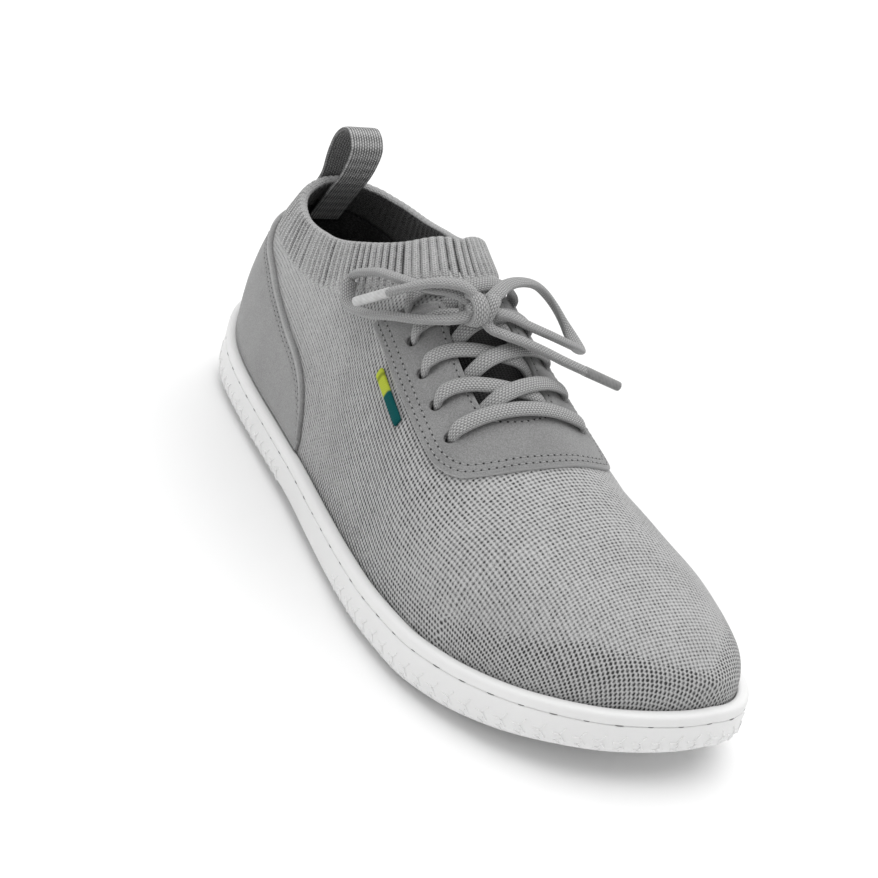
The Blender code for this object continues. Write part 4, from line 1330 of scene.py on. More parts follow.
def rubber_finish():
    material, shader, start = new_finish("rubber_white", (0.88, 0.88, 0.875), 0.5)
    shader.inputs["Specular IOR Level"].default_value = 0.4
    cloud = noise(start, 45.0, 3.0)
    grain = noise(start, 2200.0, 2.0, 0.6)
    dust = (noise(start, 240.0, 4.0, 0.7)).over(0.62, 0.8)
    color = (cloud * 0.8 + grain * 0.2).mix((0.85, 0.85, 0.848, 1.0), (0.90, 0.90, 0.897, 1.0))
    color = (dust * 0.2).mix(color, (0.74, 0.73, 0.71, 1.0))
    plug(color, shader, "Base Color")
    plug(0.44 + 0.16 * grain + 0.1 * dust, shader, "Roughness")
    bump(grain + 0.4 * cloud, shader, 0.00012, 0.5)
    return material


rubber_white = rubber_finish()
SOLE_POINTS = 720
turns = np.arange(SOLE_POINTS) * 2.0 / SOLE_POINTS
folded = np.where(turns > 1, 2 - turns, turns)
shares = share_of(folded)
arch = np.where(turns > 1, 1.0, 0.35) * 1.6 * np.exp(-(((shares - 0.42) / 0.1) ** 2))
lip, low, flat, cup = lip_z(folded), low_z(folded), flat_z(folded), cup_z(folded)
print("lip from", round(lip.min(), 1), "to", round(lip.max(), 1), "mm above the floor")

# %% The side wall


def wall_place(turn, level):
    """On the side of the sole, from its widest line 0 up to the band 1, or down to the edge at -1."""
    turn, level = np.broadcast_arrays(np.asarray(turn, float), np.asarray(level, float))
    a = np.where(turn > 1, 2 - turn, turn)
    widest = np.minimum(low_z(a) + 4.0, lip_z(a) - 7.0)
    up_z = widest + (lip_z(a) - 5.35 - widest) * level
    down_z = widest + (widest - low_z(a) - 2.0) * level
    up_share = np.clip(level, 0, 1) ** 1.5
    down_share = np.clip(-level, 0, 1) ** 1.5
    edge = plan_at(turn, 0.0)
    edge = edge + (plan_at(turn, 0.3) - edge) * up_share[..., None]
    edge = edge + (plan_at(turn, 0.5) - plan_at(turn, 0.0)) * down_share[..., None]
    return np.concatenate([edge, np.where(level > 0, up_z, down_z)[..., None]], axis=-1)


def round_loop(inset, z):
    return np.concatenate([plan_at(turns, inset), np.broadcast_to(z, turns.shape)[:, None]], axis=1)


sole_loops = [
    round_loop(18.0, flat + arch * 0.4),
    round_loop(11.0, flat + arch * 0.6),
    round_loop(6.0, flat + arch * 0.8),
    round_loop(3.9, (flat + low) / 2 + arch * 0.9 - 0.2),
    round_loop(2.4, low + arch),
    round_loop(1.3, low + 0.8 + arch * 0.75),
    wall_place(turns, -1.0) + np.stack([0 * arch, 0 * arch, arch * 0.5], axis=1),
]
sole_loops += [wall_place(turns, level) for level in (-0.6, -0.25, 0.0, 0.2, 0.4, 0.6, 0.8, 0.95, 1.0)]
# Distance in from the sole's edge and height over the lip, in millimetres.
BAND = (
    (0.30, -4.9),
    (0.30, -4.3),
    (0.32, -3.85),
    (0.42, -3.68),
    (0.82, -3.60),
    (0.82, -3.40),
    (0.44, -3.32),
    (0.36, -3.12),
    (0.34, -2.6),
    (0.40, -1.9),
    (0.52, -1.3),
    (0.68, -0.85),
    (0.98, -0.42),
    (1.45, -0.1),
    (2.1, 0.0),
    (3.2, -0.04),
    (LIP_WIDTH - 0.35, -0.25),
    (LIP_WIDTH - 0.05, -0.6),
    (LIP_WIDTH, -1.2),
)
sole_loops += [round_loop(inset, lip + z) for inset, z in BAND]
sole_loops.append(round_loop(LIP_WIDTH, cup))
cup_sole = Grids()
cup_sole.add(np.stack(sole_loops), around=True)
add_across(cup_sole, sole_loops[0])
add_across(cup_sole, sole_loops[-1])
print("sole section:", len(sole_loops), "loops of", SOLE_POINTS, "points")

# %% [markdown]
# The tread under the sole is a row of chevrons with rounded corners. Each follows the bottom's toe
# spring, because its height is taken from the bottom at the same place.

# %% The chevrons of the tread


def bottom_at(x):
    return flat_z(a_of(x / LENGTH + 0.5))


# Place along X and height of the bar's section, in shares of its width and in millimetres.
LUG_SECTION = ((-0.5, 1.4), (-0.5, -1.1), (-0.46, -1.42), (-0.36, -LUG_HEIGHT), (0.36, -LUG_HEIGHT))
LUG_SECTION += ((0.46, -1.42), (0.5, -1.1), (0.5, 1.4))
lugs = 0
for first, last in ((0.10, 0.31), (0.56, 0.86)):
    x = LENGTH * (first - 0.5)
    while x <= LENGTH * (last - 0.5):
        ends = a_of(np.array((x - LUG_SWEEP - LUG_WIDTH / 2) / LENGTH + 0.5))
        left, right_end = plan_at(ends, LUG_INSET)[1], plan_at(2 - ends, LUG_INSET)[1]
        t = np.concatenate([[-1, -0.985], np.linspace(-0.95, 0.95, 21), [0.985, 1]])
        y = (left + right_end) / 2 + t * (right_end - left) / 2
        back_by = LUG_SWEEP * (np.sqrt(t * t + 0.01) - 0.1)
        thin = np.where(np.abs(t) > 0.99, 0.86, 1.0)
        bar_x = x - back_by[:, None] + LUG_WIDTH * thin[:, None] * np.array([p[0] for p in LUG_SECTION])
        bar_z = bottom_at(bar_x) + np.array([p[1] for p in LUG_SECTION])
        bar = np.stack([bar_x, np.broadcast_to(y[:, None], bar_x.shape), bar_z], axis=-1)
        cup_sole.add(bar, around=True)
        for end in (bar[0], bar[-1]):
            cup_sole.add(np.stack([end[:4], end[4:][::-1]]))
        lugs += 1
        x += LUG_PITCH
sole = cup_sole.piece("cup_sole", [rubber_white])
dress(sole, "rubber_white", "sole")
print(lugs, "chevrons")

# %% [markdown]
# The wall carries a relief of small twigs: a dot, a stem and two arms. They sit at the heel and at the
# forefoot and leave the arch plain. One stamp of a few dozen faces is repeated along the wall.

# %% The relief of twigs


def bar_faces(points, faces, start, stop, width, height):
    """A low bar with sloped sides between two places."""
    start, stop = np.array(start, float), np.array(stop, float)
    run = (stop - start) / np.linalg.norm(stop - start)
    side = np.array([-run[1], run[0]])
    base = len(points)
    for reach, z in ((1.0, -0.3), (0.62, height)):
        for where, way_out in ((start, -1), (stop, 1)):
            for hand in (-1, 1):
                spot = where + run * way_out * width * 0.5 * reach + side * hand * width * 0.5 * reach
                points.append((*spot, z))
    b = base
    faces += [(b, b + 1, b + 3, b + 2), (b + 4, b + 6, b + 7, b + 5), (b, b + 2, b + 6, b + 4)]
    faces += [(b + 1, b + 5, b + 7, b + 3), (b, b + 4, b + 5, b + 1), (b + 2, b + 3, b + 7, b + 6)]


def twig_stamp(name, arm, width, height):
    points, faces = [], []
    bar_faces(points, faces, (-0.75 * arm, 0), (0.0, 0), width, height)
    bar_faces(points, faces, (0.0, 0), (0.72 * arm, arm), width, height)
    bar_faces(points, faces, (0.0, 0), (0.72 * arm, -arm), width, height)
    bar_faces(points, faces, (-0.92 * arm, 0), (-0.86 * arm, 0), width * 1.7, height * 1.15)
    return stamp(name, points, faces)


def on_wall(level, pitch, spans):
    """Places round the wall in the stretches of the length, with the way out and the way to the toe."""
    fine = np.linspace(0, 2, 4001)
    line = wall_place(fine, level)
    way = way_along(line)
    turn = np.interp(np.arange(0, way[-1] - pitch / 2, way[-1] / round(way[-1] / pitch)), way, fine)
    share = share_of(np.where(turn > 1, 2 - turn, turn))
    keep = np.zeros(len(turn), bool)
    for low_end, high_end in spans:
        keep |= (share >= low_end) & (share <= high_end)
    turn = turn[keep]
    here = wall_place(turn, level)
    run = wall_place(turn + 0.002, level) - wall_place(turn - 0.002, level)
    rise = wall_place(turn, level + 0.1) - wall_place(turn, level - 0.1)
    out = np.cross(run, rise)
    out /= np.linalg.norm(out, axis=1)[:, None]
    outward = np.sign((out[:, :2] * (plan_at(turn, 0.0) - plan_at(turn, 1.0))).sum(axis=1))
    to_toe = np.where(turn > 1, -1.0, 1.0)
    return here, out * outward[:, None], run * to_toe[:, None]


TWIG_SPANS = ((0.0, 0.37), (0.60, 1.0))
big_twig = twig_stamp("twig", 2.1, 0.5, 0.34)
small_twig = twig_stamp("small_twig", 1.0, 0.42, 0.28)
rows = [
    ("twigs", on_wall(0.22, 5.9, TWIG_SPANS), big_twig),
    ("low_twigs", on_wall(-0.66, 5.9, TWIG_SPANS), small_twig),
]
for name, (here, out, run), shape in rows:
    made = repeat_on(name, here, out, run, shape, rubber_white, spread=0.02, seed=3)
    made.data.polygons.foreach_set("use_smooth", [False] * len(made.data.polygons))
    dress(made, "rubber_white")

# %% Slots of the band's seam
SLOT_PITCH = 9.7
GROOVE_DOWN = 3.5
fine = np.linspace(0, 2, 4001)
groove_z = lip_z(np.where(fine > 1, 2 - fine, fine)) - GROOVE_DOWN
groove_line = np.concatenate([plan_at(fine, 0.7), groove_z[:, None]], axis=1)
way = way_along(groove_line)
slot_count = round(way[-1] / SLOT_PITCH)
turn = np.interp(np.arange(slot_count) * way[-1] / slot_count, way, fine)
height = lip_z(np.where(turn > 1, 2 - turn, turn)) - GROOVE_DOWN
here = np.concatenate([plan_at(turn, 0.55), height[:, None]], axis=1)
out = np.concatenate([plan_at(turn, 0.0) - plan_at(turn, 1.0), np.zeros((len(turn), 1))], axis=1)
ahead = np.stack([np.interp(np.mod(turn + 0.004, 2), fine, groove_line[:, k]) for k in range(3)], axis=1)
# The dashes in the band's groove are dark grey: the slots are real, their darkness is painted shade.
slot_shade_grey, slot_shader, slot_start = new_finish("slot_shade_grey", (0.2,) * 3, 0.9)
plug(noise(slot_start, 900.0).mix(grey(0.12), grey(0.3)), slot_shader, "Base Color")
seam_thread = capsule_stamp("seam_thread", 2.3, 0.5, 0.26)
seam = repeat_on("band_seam", here, out, ahead - here, seam_thread, slot_shade_grey, spread=0.25, seed=5)
dress(seam, "rubber_white")

# %% [markdown]
# ## Footbed and tongue
# Both are soft and mostly hidden: the footbed lies in the cup, and the tongue closes the throat under the
# lace. They are plain sheets of the last, a little rounded at their edges, in a very dark knit; on the
# tongue that darkness is painted shade of the deep throat.

# %% Dark knit, footbed and tongue


# A very dark knit for the footbed and the tongue; on the tongue its darkness is painted shade.
def dark_knit_and_shade_finish():
    material, shader, start = new_finish("dark_knit_and_shade", (0.04,) * 3, 0.95, Sheen_Weight=0.2)
    u, v = cloth_map(start)
    loops = (u / 0.9 + abs((v / 1.5).fract() - 0.5)).wave()
    ribs = (v / 1.5).wave()
    fleck = noise(start, 1900.0, 2.0, 0.7)
    color = (0.35 * loops + 0.25 * ribs + 0.5 * fleck).over(0.25, 0.95).mix(grey(0.012), grey(0.10))
    plug(color, shader, "Base Color")
    bump(0.6 * loops + 0.4 * ribs + 0.2 * fleck, shader, 0.0003, 0.8)
    return material


dark_knit_and_shade = dark_knit_and_shade_finish()
floor_z = cup + GAP
# Distance in from the sole's edge and height over the cup's floor, in millimetres.
BED = (
    (INSOLE_INSET + 0.4, 0.0),
    (INSOLE_INSET + 0.05, 0.25),
    (INSOLE_INSET, 0.7),
    (INSOLE_INSET, INSOLE_THICK - 0.7),
    (INSOLE_INSET + 0.2, INSOLE_THICK - 0.2),
    (INSOLE_INSET + 0.9, INSOLE_THICK),
    (INSOLE_INSET + 4.0, INSOLE_THICK - 0.3),
    (INSOLE_INSET + 8.0, INSOLE_THICK - 0.5),
)
bed_loops = np.stack([round_loop(inset, floor_z + z) for inset, z in BED])
bed_uv = np.concatenate([bed_loops[..., :2], bed_loops[:, :1, :2]], axis=1)
footbed = Grids()
footbed.add(bed_loops, bed_uv, around=True)
add_across(footbed, bed_loops[0])
half = SOLE_POINTS // 2
bed_top = bed_loops[-1]
top_rows = np.stack([bed_top[: half + 1], np.concatenate([bed_top[:1], bed_top[half:][::-1]])])
footbed.add(top_rows, top_rows[..., :2])
dress(footbed.piece("footbed", [dark_knit_and_shade]), "knit_dark", "insole")

# The tongue's very dark colour is painted shade: it stands for the deep shadow in the throat.
tongue_a = np.linspace(float(a_of(0.452)), float(a_of(0.672)), 61)
across = np.linspace(-1, 1, 31)
share = np.linspace(0, 1, 61)[:, None]
tongue_w = THROAT_MIDDLE + (0.30 - 0.06 * share) * across[None, :]
sunk = CUFF_WALL + 2 * GAP + 1.6 * np.sin(np.pi * share) * (1 - across**2)[None, :]
edge = 0.55 * np.clip((np.abs(across) - 0.9) / 0.1, 0, 1)[None, :] ** 2
top = raised(tongue_a[:, None], tongue_w, -sunk - edge)
under = raised(tongue_a[:, None], tongue_w, -sunk - TONGUE_THICK + edge)
uv = cloth_uv(tongue_a[:, None], tongue_w)
tongue_grid = Grids()
tongue_grid.add(top, uv)
tongue_grid.add(under, uv)
tongue_grid.rim(top, under)
dress(tongue_grid.piece("knit_tongue", [dark_knit_and_shade]), "knit_dark", "tongue")

# %% [markdown]
# ## The eyestay
# A U of thin microfibre is bonded and stitched round the throat, and the holes are punched through it and
# the knit. The sheet has a rounded cut edge and is pulled down a little along each seam. Its section over
# the width is worked out from the real distance to each edge, so seams keep their distance everywhere.

# %% Microfibre and thread finishes


def microfibre_finish(name, light):
    material, shader, start = new_finish(name, (light,) * 3, 0.86, Sheen_Weight=0.3, Sheen_Roughness=0.5)
    shader.inputs["Specular IOR Level"].default_value = 0.3
    edge = start.node("ShaderNodeAttribute", {"attribute_name": "cut_edge"}, output=2)
    cloud = noise(start, 70.0, 3.0)
    nap = noise(start, 1700.0, 3.0, 0.75)
    pebble = start.node(
        "ShaderNodeTexVoronoi", {"feature": "DISTANCE_TO_EDGE"}, {"Vector": on_object(start), "Scale": 1500.0}
    )
    speckle = noise(start, 3200.0, 1.0)
    tone = 0.5 + 1.5 * (nap - 0.5) + 0.5 * (cloud - 0.5) + 0.9 * (speckle - 0.5)
    color = tone.over(0.0, 1.0).mix(grey(light * 0.72), grey(light * 1.28))
    # Lighter along the eyestay's cut edges, and along the counter's bead as a painted highlight.
    color = (edge * 0.8).mix(color, grey(min(0.62, light * 2.0)))
    plug(color, shader, "Base Color")
    bump(0.6 * nap + 0.6 * pebble.over(0.0, 0.25), shader, 0.00014, 0.6)
    return material


def thread_finish(name, light):
    material, shader, start = new_finish(name, (light,) * 3, 0.6)
    values = {"Vector": on_object(start), "Scale": 900.0}
    turn = start.node("ShaderNodeTexWave", {"bands_direction": "DIAGONAL"}, values)
    color = turn.mix(grey(light * 0.7), grey(light * 1.1))
    plug(color, shader, "Base Color")
    bump(turn, shader, 0.0001, 0.6)
    return material


# Near black for the needle holes and pin holes: painted shade of holes that the mesh only dents.
def hole_shade_finish():
    material, shader, start = new_finish("hole_shade_dark", (0.03,) * 3, 0.95)
    plug(noise(start, 900.0).mix(grey(0.015), grey(0.05)), shader, "Base Color")
    return material


microfibre = microfibre_finish("microfibre_grey", 0.25)
thread = thread_finish("thread_light", 0.38)
hole_shade_dark = hole_shade_finish()
print("microfibre, thread and needle hole finishes made")

# %% The U round the throat
STAY_POINTS = 361
stay_knots = [row[0] for row in EYESTAY]
stay_way = np.linspace(0, 1, STAY_POINTS)


def stay_line(column, is_share=False):
    values = [a_of(row[column]) if is_share else row[column] for row in EYESTAY]
    return smooth_rows(stay_knots, values, stay_way)


stay_outer = np.stack([stay_line(1, True), stay_line(2)])
stay_throat = np.stack([stay_line(3, True), stay_line(4)])
stay_width = np.linalg.norm(surface(*stay_outer) - surface(*stay_throat), axis=-1)
# Distance from the outer edge where above 0 and from the throat edge where below it, and height lost.
STAY_SECTION = (
    (0.001, 0.42),
    (0.12, 0.20),
    (0.35, 0.05),
    (0.8, 0.0),
    (1.5, 0.03),
    (2.0, 0.16),
    (2.5, 0.03),
    (3.2, 0.0),
    (3.9, 0.03),
    (4.4, 0.16),
    (4.9, 0.03),
    (5.8, 0.0),
    (7.2, 0.0),
    (-4.6, 0.0),
    (-3.2, 0.0),
    (-2.5, 0.03),
    (-2.0, 0.16),
    (-1.5, 0.03),
    (-0.8, 0.0),
    (-0.35, 0.05),
    (-0.12, 0.20),
    (-0.001, 0.42),
)


def stay_share(distance):
    """Share of the way over the sheet for a distance from its outer or its throat edge."""
    distance = np.asarray(distance, float)
    limit = np.where(distance > 0, distance, stay_width[:, None] + distance)
    return np.clip(limit / stay_width[:, None], 0, 1)


section = np.array(STAY_SECTION)
over = stay_share(section[None, :, 0])
over = np.maximum.accumulate(over, axis=1)
stay_a = stay_outer[0][:, None] + (stay_throat[0] - stay_outer[0])[:, None] * over
stay_w = stay_outer[1][:, None] + (stay_throat[1] - stay_outer[1])[:, None] * over
stay_top = raised(stay_a, stay_w, OVERLAY_GAP + OVERLAY - section[None, :, 1])
stay_under = raised(stay_a, stay_w, 0.05)
at_edge = np.clip(1 - np.abs(section[:, 0]) / 0.4, 0, 1)[None, :] * np.ones((STAY_POINTS, 1))
uv = cloth_uv(stay_a, stay_w)
stay_grid = Grids()
stay_grid.add(stay_top, uv, cut_edge=at_edge)
stay_grid.add(stay_under, uv, cut_edge=at_edge)
stay_grid.rim(stay_top, stay_under, cut_edge=1.0)
eyestay = stay_grid.piece("eyestay_sheet", [microfibre])
print("the sheet is", round(stay_width.min(), 1), "to", round(stay_width.max(), 1), "mm wide")

# %% Punch the holes


def hole_place(k, side):
    row = EYELETS[k]
    return np.array([float(a_of(row[2 * side])), row[2 * side + 1]])


punch = Grids()
for k in range(len(EYELETS)):
    for side in (0, 1):
        a, w = hole_place(k, side)
        line = np.array([raised(a, w, -5.0), raised(a, w, 5.0)])
        rings, _ = tube(line, [[1, 0, 0.3], [1, 0, 0.3]], HOLE_DIAMETER, HOLE_DIAMETER, 28)
        add_tube(punch, rings)
punches = punch.piece("punches", [])


def punched(body):
    """The piece with the holes cut through it, as a plain mesh."""
    step = body.modifiers.new("punch", "BOOLEAN")
    step.operation = "DIFFERENCE"
    step.solver = "EXACT"
    step.object = punches
    graph = bpy.context.evaluated_depsgraph_get()
    graph.update()
    mesh = bpy.data.meshes.new_from_object(body.evaluated_get(graph), depsgraph=graph)
    body.modifiers.clear()
    before = len(body.data.vertices)
    body.data = mesh
    print(body.name, "points:", before, "->", len(mesh.vertices))
    return body


dress(punched(eyestay), "microfibre_grey", "eyestay")
dress(punched(upper), "knit_grey", "upper")
bpy.data.objects.remove(punches, do_unlink=True)

# %% [markdown]
# A seam is a row of thread dashes with a needle hole at each end. Both come from the repeating tree, so
# the pitch and the thread's size are numbers that can be changed.

# %% Seams of the eyestay
STITCH_PITCH = 2.4
stitch = capsule_stamp("stitch", 1.65, 0.56, 0.28)
needle = disc_stamp("needle", 0.34)


def sew(name, rows, off):
    """Thread and needle holes along lines of (a, w)."""
    dashes, dents = [], []
    for a, w in rows:
        here, out, run = line_on_knit(a, w, off, STITCH_PITCH, 0.8)
        dashes.append((here, out, run))
        dents.append((here + run * STITCH_PITCH / 2, out, run))
    parts = (("seam", dashes, stitch, thread), ("dents", dents, needle, hole_shade_dark))
    for part, found, shape, finish in parts:
        here, out, run = (np.concatenate([item[k] for item in found]) for k in range(3))
        made = repeat_on(f"{name}_{part}", here, out, run, shape, finish, spread=0.08, seed=11)
        dress(made, "microfibre_grey")


stay_rows = []
for distance in (2.0, 4.4, -2.0):
    over = stay_share(np.array([[distance]]))[:, 0]
    stay_rows.append(stay_outer + (stay_throat - stay_outer) * over)
sew("eyestay", stay_rows, OVERLAY_GAP + OVERLAY - 0.10)

# %% [markdown]
# ## The heel counter
# A wrap of microfibre stiffens the heel, short on the outer side and long on the inner side. Its edge is
# folded over a cord, so it stands up as a bead with a painted highlight along its crest, and two seams
# run inside it.

# %% The wrap and its bead
COUNTER_COLUMNS = 460
total_edge = EDGE_WAY[-1]
counter_way = np.linspace(COUNTER[0][0], COUNTER[-1][0], COUNTER_COLUMNS)
counter_top = smooth_rows([row[0] for row in COUNTER], [row[1] for row in COUNTER], counter_way)
counter_turn = np.interp(np.mod(-counter_way, total_edge), EDGE_WAY, np.arange(DENSE + 1) * 2.0 / DENSE)
counter_a = np.where(counter_turn > 1, 2 - counter_turn, counter_turn)
counter_side = np.where(counter_way < 0, -1.0, 1.0)
top_w = w_at_height(counter_a, counter_top, counter_side)
foot_w = w_at_height(counter_a, lip_z(counter_a) + 0.8, counter_side)
counter_line_top = surface(counter_a, counter_side * top_w)
counter_line_foot = surface(counter_a, counter_side * foot_w)
counter_height = np.linalg.norm(counter_line_top - counter_line_foot, axis=1)
# Distance down from the folded edge, and height over the plain panel.
BEAD = (
    (0.0, -0.55),
    (0.10, -0.1),
    (0.35, 0.28),
    (0.75, 0.46),
    (1.25, 0.52),
    (1.75, 0.44),
    (2.2, 0.22),
    (2.5, -0.06),
    (2.9, -0.02),
    (3.5, -0.02),
    (3.9, -0.14),
    (4.3, -0.02),
    (5.6, 0.0),
    (6.0, -0.12),
    (6.4, 0.0),
)
# A panel lower than this squeezes the bead and its seams together.
FULL_BEAD = 7.5
PANEL_ROWS = 15
bead = np.array(BEAD)
bead_down = bead[:, 0] * np.minimum(1.0, counter_height / FULL_BEAD)[:, None]
rest = np.linspace(0, 1, PANEL_ROWS + 1)[1:]
rest_down = bead_down[:, -1:] + (counter_height[:, None] - bead_down[:, -1:]) * rest
down = np.concatenate([bead_down, rest_down], axis=1)
lift = np.concatenate([bead[:, 1], np.zeros(PANEL_ROWS)])
share_down = np.clip(down / counter_height[:, None], 0, 1)
panel_w = counter_side[:, None] * (top_w[:, None] + (foot_w - top_w)[:, None] * share_down)
panel_a = np.broadcast_to(counter_a[:, None], panel_w.shape)
panel_top = raised(panel_a, panel_w, COUNTER_GAP + OVERLAY + lift)
panel_under = raised(panel_a, panel_w, 0.05)
uv = cloth_uv(panel_a, panel_w)
# Painted highlight: a lighter line along the crest of the bead.
bead_highlight = np.exp(-(((down - 1.2) / 0.9) ** 2))
counter_grid = Grids()
counter_grid.add(panel_top, uv, cut_edge=bead_highlight * 0.55)
counter_grid.add(panel_under, uv)
counter_grid.rim(panel_top, panel_under)
counter_microfibre = microfibre_finish("counter_microfibre", 0.285)
dress(counter_grid.piece("counter_wrap", [counter_microfibre]), "microfibre_grey", "heel_counter")
print("the counter stands", round(float(counter_top.max()), 1), "mm high at the heel")

# %% Seams and pin holes of the counter


def below_bead(distance):
    """A line of (a, w) at a distance under the counter's edge, where the panel is high enough."""
    keep = counter_height > distance + 2.5
    w = counter_side * (top_w + (foot_w - top_w) * distance / counter_height)
    return counter_way[keep], counter_a[keep], w[keep]


counter_rows = []
for distance in (3.9, 6.0):
    along, a, w = below_bead(distance)
    for hand in (-1, 1):
        part = along * hand > 0
        counter_rows.append((a[part], w[part]))
sew("counter", counter_rows, COUNTER_GAP + OVERLAY - 0.08)

HOLE_ALONG = 3.3
HOLE_UP = 2.3
# Heights and ways round the heel from and to, and what stays plain over the sole and under the edge.
HOLES_HIGH = (18.0, 70.0)
HOLES_WAY = (9.0, 104.0)
PLAIN_BELOW, PLAIN_ABOVE = 3.2, 8.4
pin = disc_stamp("pin", 0.34)
found = []
for row, z in enumerate(np.arange(*HOLES_HIGH, HOLE_UP)):
    start = HOLES_WAY[0] + (row % 2) * HOLE_ALONG / 2
    for along in np.arange(start, HOLES_WAY[1], HOLE_ALONG):
        a, top_z = np.interp(along, counter_way, counter_a), np.interp(along, counter_way, counter_top)
        if lip_z(a) + PLAIN_BELOW < z < top_z - PLAIN_ABOVE:
            found.append((a, float(w_at_height(a, z, 1.0))))
found = np.array(found)
here = raised(found[:, 0], found[:, 1], COUNTER_GAP + OVERLAY)
out = facing(found[:, 0], found[:, 1])
run = np.tile([1.0, 0.0, 0.0], (len(found), 1))
# The pin holes are shallow dents, darkened with painted shade.
dress(repeat_on("counter_pin_holes", here, out, run, pin, hole_shade_dark, spread=0.1, seed=7), "microfibre_grey")

# %% [markdown]
# ## The pull loop
# A strip of ribbed webbing is folded into a loop and sewn outside and inside the heel. A strip can be
# made by sweeping a flat oval along a line, and the line here is the one of the solid.

# %% Webbing finish


def webbing_finish():
    material, shader, start = new_finish("webbing_grey", (0.2,) * 3, 0.8, Sheen_Weight=0.2)
    u, v = cloth_map(start)
    inner = start.node("ShaderNodeAttribute", {"attribute_name": "inner_face"}, output=2)
    cord = (v / 1.05).wave()
    number = (v / 1.05).floor() % 2.0
    picks = (u / 0.95 + 0.5 * number).wave()
    bands = (u / 4.2).wave()
    fleck = noise(start, 2400.0, 2.0, 0.7)
    tone = 0.18 + 0.42 * cord + 0.34 * picks * cord + 0.18 * (bands - 0.5) + 0.5 * (fleck - 0.5)
    color = tone.over(0.0, 1.05).mix(grey(0.07), grey(0.66))
    # Painted shade: the face inside the loop is the same webbing, painted much darker.
    dark = (0.4 * cord + 0.3 * picks + 0.5 * fleck).over(0.2, 1.1).mix(grey(0.06), grey(0.26))
    plug(inner.mix(color, dark), shader, "Base Color")
    bump(0.6 * cord + 0.5 * picks + 0.2 * fleck, shader, 0.00035, 0.8)
    return material


webbing = webbing_finish()
print("webbing: a rib every 1.05 mm")

# %% The loop of webbing


def plain_out(a, w, off=0.0):
    """Places over the last without the knit's creases, for what doesn't lie on the knit."""
    a, w = np.broadcast_arrays(np.asarray(a, float), np.asarray(w, float))
    return surface(a, w) + np.asarray(off)[..., None] * facing(a, w)


heel_rim = surface(0.0, -COLLAR[0][2])


def heel_back(z, off):
    w = w_at_height(np.array([0.0]), np.array([z]), -1.0)
    return plain_out(np.array([0.0]), -w, np.array([off]))[0]


outside_off = GAP + CUFF_PROUD + WEBBING_THICK / 2
inside_off = -CUFF_WALL - GAP - WEBBING_THICK / 2 - 1.8
LOOP_ROUTE = [
    heel_back(heel_rim[2] - 15.0, outside_off + 0.2),
    heel_back(heel_rim[2] - 9.0, outside_off + 0.2),
    heel_back(heel_rim[2] - 1.0, outside_off + 0.3),
    heel_rim + np.array([-1.5, 0.0, 9.0]),
    heel_rim + np.array([1.5, 0.0, 17.5]),
    heel_rim + np.array([8.0, 0.0, 21.5]),
    heel_rim + np.array([13.5, 0.0, 17.0]),
    heel_rim + np.array([12.0, 0.0, 8.0]),
    heel_back(heel_rim[2] - 1.0, inside_off - 0.6),
    heel_back(heel_rim[2] - 10.0, inside_off - 0.3),
    heel_back(heel_rim[2] - 16.0, inside_off - 0.2),
]
STRIP_POINTS = 150
strip_line = smooth_line(LOOP_ROUTE, STRIP_POINTS)
for _ in range(14):
    strip_line[1:-1] = (strip_line[:-2] + 2 * strip_line[1:-1] + strip_line[2:]) / 4
run = direction(strip_line)
strip_out = np.cross(run, [0.0, 1.0, 0.0])
half_width = WEBBING_WIDTH / 2
spread_over = np.linspace(-1, 1, 27)
round_edge = np.sqrt(np.clip(1 - np.abs(spread_over) ** 12, 0, 1))
edge_y = half_width * spread_over
sideways = np.stack([0 * edge_y, edge_y, 0 * edge_y], axis=1)
way = way_along(strip_line)
top = STRIP_POINTS // 2
outer_hand = float(np.sign((strip_out[top] * (strip_line[top] - strip_line.mean(axis=0))).sum()))
strip = Grids()
for hand in (1, -1):
    thick_here = hand * WEBBING_THICK / 2 * round_edge
    points = strip_line[:, None] + sideways[None]
    points = points + strip_out[:, None] * thick_here[None, :, None]
    uv = np.stack(np.broadcast_arrays(way[:, None], (edge_y + half_width)[None, :]), axis=-1)
    strip.add(points, uv, inner_face=float(hand != outer_hand))
for end in (0, -1):
    middle = strip_line[end] + sideways
    thick = strip_out[end] * (WEBBING_THICK / 2 * round_edge)[:, None]
    strip.wall(middle + thick, middle - thick)
dress(strip.piece("webbing_loop", [webbing]), "webbing_grey", "pull_loop")
print("the webbing is", round(float(way[-1])), "mm long")

# %% [markdown]
# ## The side tag
# A short folded ribbon is caught under the eyestay's outer edge. Its two colours are woven, so the change
# from one to the other is a soft line across it, read from a value stored on the points.

# %% Ribbon


def ribbon_finish():
    material, shader, start = new_finish("ribbon_two_tone", (0.02, 0.2, 0.2), 0.7)
    u, v = cloth_map(start)
    share_along = start.node("ShaderNodeAttribute", {"attribute_name": "tag_share"}, output=2)
    picks = (u / 0.42).wave()
    warp = (v / 0.5 + 0.5 * ((u / 0.42).floor() % 2.0)).wave()
    tone = 0.45 + 0.3 * picks + 0.25 * warp
    teal = tone.mix((0.0, 0.035, 0.037, 1.0), (0.0, 0.105, 0.108, 1.0))
    lime = tone.mix((0.24, 0.30, 0.02, 1.0), (0.60, 0.68, 0.07, 1.0))
    # Painted shade: a dark line across the lime where the ribbon folds over.
    fold_shade = 1.0 - abs(share_along - 0.86).over(0.01, 0.05)
    lime = (fold_shade * 0.6).mix(lime, (0.10, 0.13, 0.01, 1.0))
    shader.inputs["Specular IOR Level"].default_value = 0.15
    plug(share_along.over(0.52, 0.57).mix(teal, lime), shader, "Base Color")
    bump(picks + 0.5 * warp, shader, 0.00012, 0.8)
    return material


